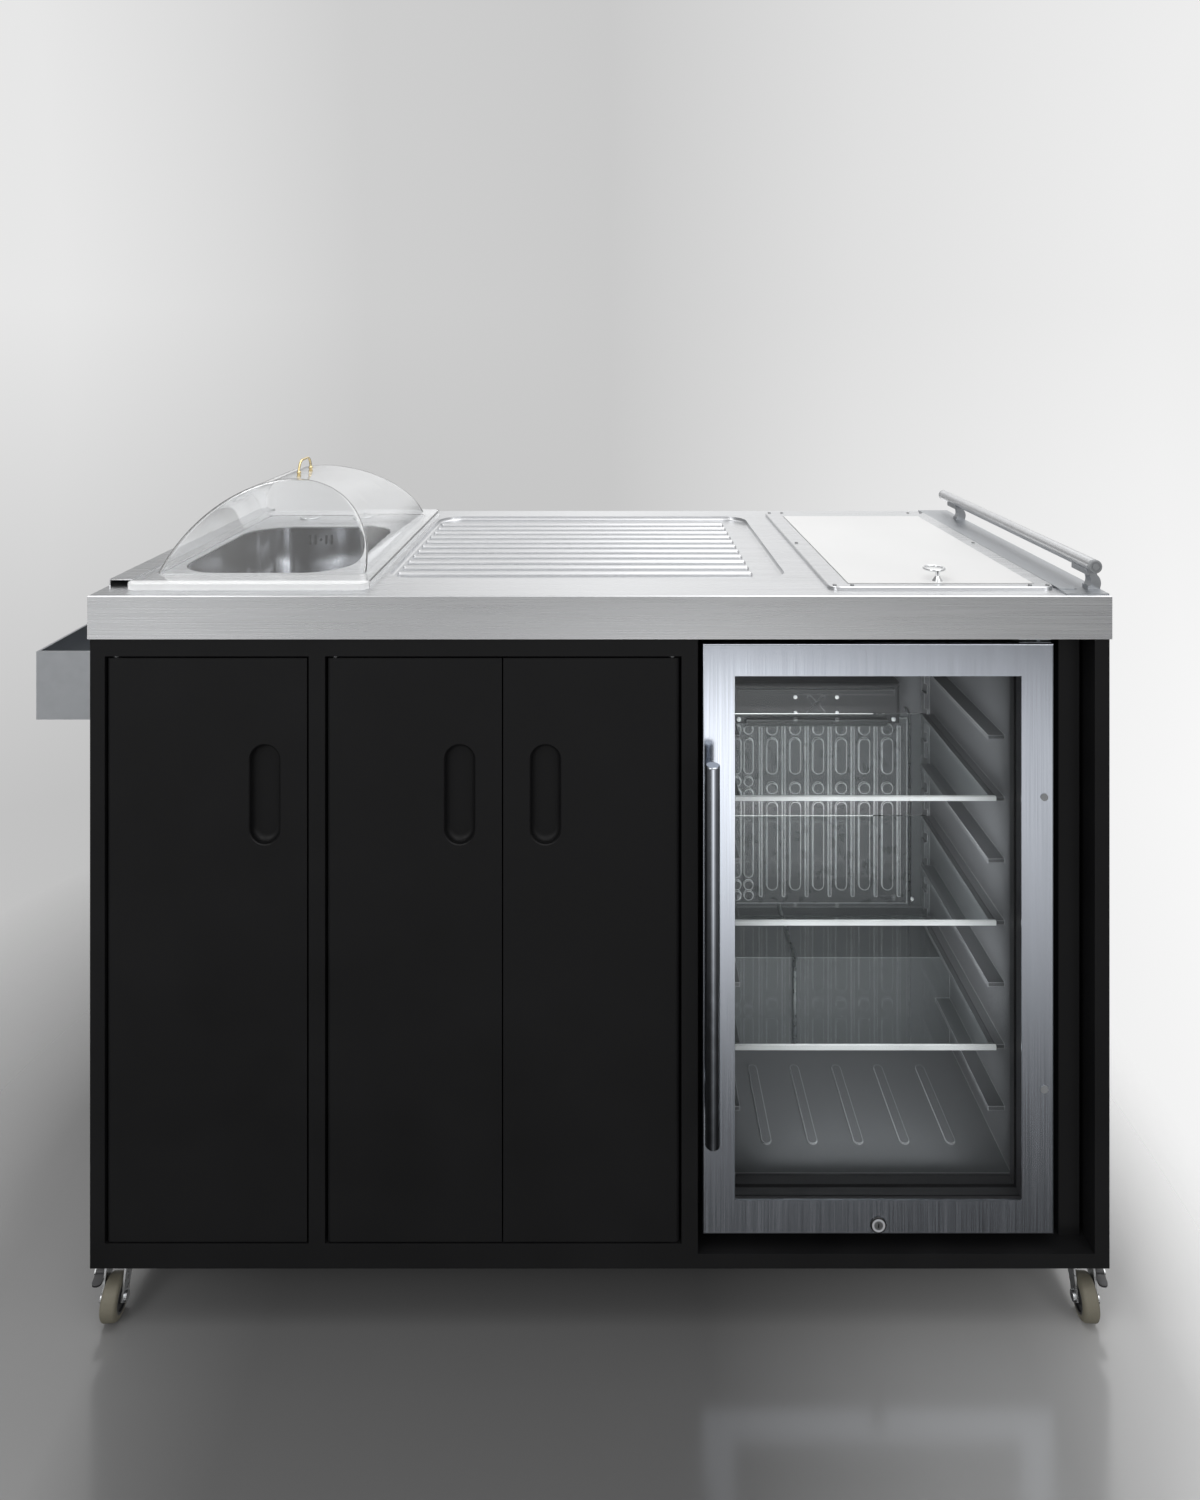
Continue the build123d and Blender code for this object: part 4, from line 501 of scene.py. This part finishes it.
finishes = {
    "black_panel": black_laminate(),
    "stainless": brushed("stainless", (0.665, 0.672, 0.685), 0.3, "X"),
    "dull_steel": brushed("dull_steel", (0.42, 0.435, 0.455), 0.36, "Y"),
    "screw": polished("screw", (0.24, 0.245, 0.25), 0.3),
    "bowl_steel": drawn_steel(),
    "clear_cover": clear_plastic(),
    "brass": polished("brass", (0.83, 0.68, 0.38), 0.12),
    "white_board": white_board(),
    "chrome": polished("chrome", (0.76, 0.77, 0.78), 0.09),
    "door_steel": brushed("door_steel", (0.57, 0.605, 0.67), 0.18, "Z", 0.006),
    "dark_bar": polished("dark_bar", (0.5, 0.53, 0.58), 0.1),
    "cold_plate": cold_plate(),
    "clear_glass": clear_glass("pane_glass", (0.95, 0.96, 0.96), 1.12),
    "shelf_glass": clear_glass("shelf_glass", (0.9, 0.94, 0.93), 1.45),
    "white_trim": moulded("white_trim", (0.82, 0.84, 0.85), 0.3),
    "black_plastic": moulded("black_plastic", (0.03, 0.03, 0.032), 0.4),
    # The liner and the fan housing carry a painted highlight along their edges, in the last colour given
    "dark_liner": edged("dark_liner", (0.075, 0.078, 0.083), 0.34, (0.3, 0.31, 0.32)),
    "fan_plastic": edged("fan_plastic", (0.035, 0.036, 0.038), 0.34, (0.2, 0.21, 0.22)),
    "gasket": moulded("gasket", (0.02, 0.02, 0.02), 0.6),
    "fridge_case": painted("fridge_case", (0.018, 0.018, 0.02), 0.42),
    "zinc": zinc(),
    "compressor": painted("compressor", (0.015, 0.015, 0.015), 0.35),
    # Pale non-metal paint for screw heads, a painted glint in place of metal
    "glint_painted_screw": painted("glint_painted_screw", (0.75, 0.76, 0.78), 0.3),
    "grey_plug": moulded("grey_plug", (0.28, 0.29, 0.3), 0.4),
}


def dress(node, material):
    """Gives a node a finish in the place of its plain one."""
    frame["nodes"][node].material_slots[0].material = material


joints = {joint["name"]: joint for joint in frame["joints"]}


def dress_nodes():
    """Gives every node the finish of its material slot, and each wheel its own tread."""
    for part in frame["record"]["subparts"]:
        node, slot = part["node"], part["material_slot"]
        if slot == "tread":
            low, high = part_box(node)
            radius = (high.z - low.z) / 2
            axle = joints[node.replace("_wheel", "_roll")]
            dress(node, wheel_rubber(axle, radius, radius * HUB_SHARE))
        else:
            dress(node, finishes[slot])


dress_nodes()
dress("evaporator_panel", finishes["cold_plate"])
dress("fan_housing", finishes["fan_plastic"])
dress("lock_barrel", finishes["screw"])
# The lock's housing gets a painted sheen and a rim of painted shade
dress("lock_housing", painted_lock_ring(joints["lock_turn"]))


# Softened edges

def soften(node, width):
    """Rounds the sharp edges of a node a little, as real edges are."""
    piece = frame["nodes"][node]
    flat = piece.modifiers.new("flat_faces", "DECIMATE")
    flat.decimate_type = "DISSOLVE"
    flat.angle_limit = FLAT_ANGLE
    edge = piece.modifiers.new("soft_edges", "BEVEL")
    edge.width = width * MM
    edge.segments = EDGE_SEGMENTS
    edge.limit_method = "ANGLE"
    edge.angle_limit = SHARP_ANGLE


for node, width in SOFT_EDGES.items():
    soften(node, width)


# Screws and pipes inside the refrigerator

def put(name, shape, material):
    """A new piece of the cabinet from a finished shape."""
    mesh = bpy.data.meshes.new(name)
    shape.to_mesh(mesh)
    shape.free()
    mesh.materials.append(material)
    mesh.shade_smooth()
    made = bpy.data.objects.new(name, mesh)
    bpy.context.scene.collection.objects.link(made)
    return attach(made, "cabinet")


def screw_heads(name, places, head):
    """Domed screw heads that look to the front, half sunk where they sit, with a painted glint: pale paint
    in place of metal.
    """
    diameter, height = head
    size = Matrix.Diagonal((diameter / 2 * MM, height * MM, diameter / 2 * MM, 1))
    shape = bmesh.new()
    for place in places:
        bmesh.ops.create_uvsphere(shape, u_segments=SCREW_SEGMENTS, v_segments=SCREW_RINGS, radius=1,
                                  matrix=Matrix.Translation(place) @ size)
    return put(name, shape, finishes["glint_painted_screw"])


def pipe(name, points, diameter):
    """A bare metal pipe, straight between its bends."""
    curve = bpy.data.curves.new(name, "CURVE")
    curve.dimensions = "3D"
    curve.bevel_depth = diameter / 2 * MM
    curve.use_fill_caps = True
    line = curve.splines.new("POLY")
    line.points.add(len(points) - 1)
    for point, place in zip(line.points, points):
        point.co = (*place, 1)
    drawn = bpy.data.objects.new(name, curve)
    shape = bmesh.new()
    shape.from_mesh(drawn.to_mesh())
    drawn.to_mesh_clear()
    bpy.data.objects.remove(drawn)
    return put(name, shape, finishes["zinc"])


def both_sides(middle, reach):
    """Two places at the same distance from a middle, the lower one first."""
    return middle - reach * MM, middle + reach * MM


def cold_room_screws():
    """Screws of the fan, its housing and the cold plate."""
    fan_low, fan_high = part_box("fan_housing")
    plate_low, plate_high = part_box("evaporator_panel")
    middle = (plate_low.x + plate_high.x) / 2
    face = fan_low.y + FAN_FACE * MM
    across, up = FAN_SCREWS
    fan_z = (fan_low.z + fan_high.z) / 2
    around = [(x, face, z) for x in both_sides(middle, across) for z in both_sides(fan_z, up)]
    screw_heads("fan_screws", around, FAN_SCREW_HEAD)
    housing_z = fan_low.z + HOUSING_SCREW_RISE * MM
    ends = [(x, face, housing_z) for x in both_sides(middle, HOUSING_SCREW)]
    screw_heads("housing_screws", ends, HOUSING_SCREW_HEAD)
    plate_z = plate_low.z + PLATE_SCREW_RISE * MM
    feet = [(x, plate_high.y, plate_z) for x in both_sides(middle, PLATE_SCREW)]
    screw_heads("plate_screws", feet, PLATE_SCREW_HEAD)


def cold_room_pipes():
    """The thin pipe beside the cold plate, and the drain from under it over the step."""
    fan_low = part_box("fan_housing")[0]
    plate_low, plate_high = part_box("evaporator_panel")
    off = plate_high.y - PIPE_OFF * MM
    right = plate_high.x + PIPE_OFF * MM
    inward, rise = SUCTION_END
    pipe("suction_pipe", ((right, off, plate_low.z),
                          (right, off, fan_low.z + SUCTION_RISE * MM),
                          (right - inward * MM, off, fan_low.z + rise * MM)), SUCTION_PIPE)
    drain = plate_low.x + DRAIN_SIDE * MM
    step_top = plate_low.z - (STEP_DROP - PIPE_OFF) * MM
    step_face = plate_high.y - (STEP_DEPTH + PIPE_OFF) * MM
    pipe("drain_pipe", ((drain, off, plate_low.z),
                        (drain, off, step_top),
                        (drain, step_face, step_top),
                        (drain, step_face, step_top - DRAIN_DROP * MM)), DRAIN_PIPE)


cold_room_screws()
cold_room_pipes()


# Studio

def camera():
    """The level camera of the main picture."""
    data = bpy.data.cameras.new("camera")
    data.sensor_width = CAMERA_SENSOR
    data.lens = CAMERA_LENS
    data.shift_x, data.shift_y = CAMERA_SHIFT
    made = bpy.data.objects.new("camera", data)
    made.location = CAMERA_PLACE
    made.rotation_euler = (math.radians(90), 0, 0)
    bpy.context.scene.collection.objects.link(made)
    bpy.context.scene.camera = made


def lamp(name, place, target, size, power, seen):
    """A soft rectangular lamp that looks at a point, and may show in what shines."""
    data = bpy.data.lights.new(name, "AREA")
    data.shape = "RECTANGLE"
    data.size, data.size_y = size
    data.energy = power
    made = bpy.data.objects.new(name, data)
    made.location = place
    made.rotation_euler = (Vector(target) - Vector(place)).to_track_quat("-Z", "Y").to_euler()
    made.visible_camera = False
    made.visible_glossy = seen
    made.visible_transmission = False
    bpy.context.scene.collection.objects.link(made)


def cold_room_lamps():
    """The refrigerator's own light: a soft panel before each space between the shelves."""
    low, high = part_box("fridge_liner")
    middle = (low + high) / 2
    front = low.y + SPACE_FRONT
    trim_low, trim_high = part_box("shelf_trims")
    pitch = (trim_high.z - trim_low.z) / 2
    for space, power in enumerate(SPACE_POWERS):
        z = trim_low.z + (space - 0.5) * pitch
        target = (middle.x, high.y, z + SPACE_TILT)
        lamp(f"space_{space}", (middle.x, front, z), target, SPACE_PANEL, power, False)


def world():
    """Pale surroundings: an even light, a plain backdrop, and a studio that shows in what shines."""
    made = bpy.data.worlds.new("studio")
    made.use_nodes = True
    tree = made.node_tree
    tree.nodes.clear()
    place = add(tree, "ShaderNodeTexCoord")
    toward = add(tree, "ShaderNodeSeparateXYZ")
    tree.links.new(place.outputs["Generated"], toward.inputs["Vector"])
    height, side = toward.outputs["Z"], toward.outputs["X"]
    rows = ramp(tree, height, -1, 1, STUDIO_ROWS)
    sides = ramp(tree, side, -1, 1, STUDIO_LOWEST_SIDES)
    for start, end, stops in STUDIO_SIDES_ABOVE:
        share = spread(tree, height, 0, 1, start, end)
        sides = blended(tree, share, sides, ramp(tree, side, -1, 1, stops))
    studio = scaled(tree, rows, sides)
    low_backdrop = ramp(tree, side, -BACKDROP_END, BACKDROP_END, BACKDROP_LOW_SIDES)
    upper_backdrop = ramp(tree, side, -BACKDROP_END, BACKDROP_END, BACKDROP_SIDES)
    backdrop = blended(tree, spread(tree, height, 0, 1, *BACKDROP_HEIGHTS), low_backdrop, upper_backdrop)
    even = add(tree, "ShaderNodeRGB")
    even.outputs["Color"].default_value = (EVEN_LIGHT, EVEN_LIGHT, EVEN_LIGHT, 1)
    path = add(tree, "ShaderNodeLightPath")
    seen = blended(tree, path.outputs["Glossy Depth"], backdrop, studio)
    seen = blended(tree, path.outputs["Is Diffuse Ray"], seen, even.outputs["Color"])
    sky = add(tree, "ShaderNodeBackground")
    output = add(tree, "ShaderNodeOutputWorld")
    tree.links.new(seen, sky.inputs["Color"])
    tree.links.new(sky.outputs["Background"], output.inputs["Surface"])
    bpy.context.scene.world = made


def floor():
    """A grey polished floor with painted light and painted shade in bands across it, that fades into the
    surroundings and doesn't show in the metal.
    """
    mesh = bpy.data.meshes.new("floor")
    shape = bmesh.new()
    bmesh.ops.create_circle(shape, cap_ends=True, radius=FLOOR_END, segments=FLOOR_SEGMENTS)
    shape.to_mesh(mesh)
    shape.free()
    made = bpy.data.objects.new("floor", mesh)
    bpy.context.scene.collection.objects.link(made)
    material, tree, shader = finish("studio_floor", (0.2, 0.2, 0.2), 0.16)
    cloud = grain(tree, 3, 3)
    vary_roughness(tree, shader, cloud, 0.13, 0.2)
    place = add(tree, "ShaderNodeTexCoord")
    spot = add(tree, "ShaderNodeSeparateXYZ")
    tree.links.new(place.outputs["Object"], spot.inputs["Vector"])
    # Painted light and shade: the floor's grey runs in bands across it
    tree.links.new(ramp(tree, spot.outputs["X"], -1, 1, FLOOR_PAINTED_LIGHT), shader.inputs["Base Color"])
    away = add(tree, "ShaderNodeVectorMath", operation="LENGTH")
    tree.links.new(place.outputs["Object"], away.inputs[0])
    fade = spread(tree, away.outputs["Value"], 1, 0, FLOOR_FADE, FLOOR_END)
    both = add(tree, "ShaderNodeMath", operation="MULTIPLY")
    tree.links.new(fade, both.inputs[0])
    tree.links.new(spread(tree, spot.outputs["X"], 1, 0, *FLOOR_RIGHT), both.inputs[1])
    tree.links.new(both.outputs["Value"], shader.inputs["Alpha"])
    mesh.materials.append(material)
    made.visible_glossy = False


camera()
for settings in LAMPS:
    lamp(*settings)
cold_room_lamps()
world()
floor()
bpy.context.scene.view_settings.view_transform = "Standard"
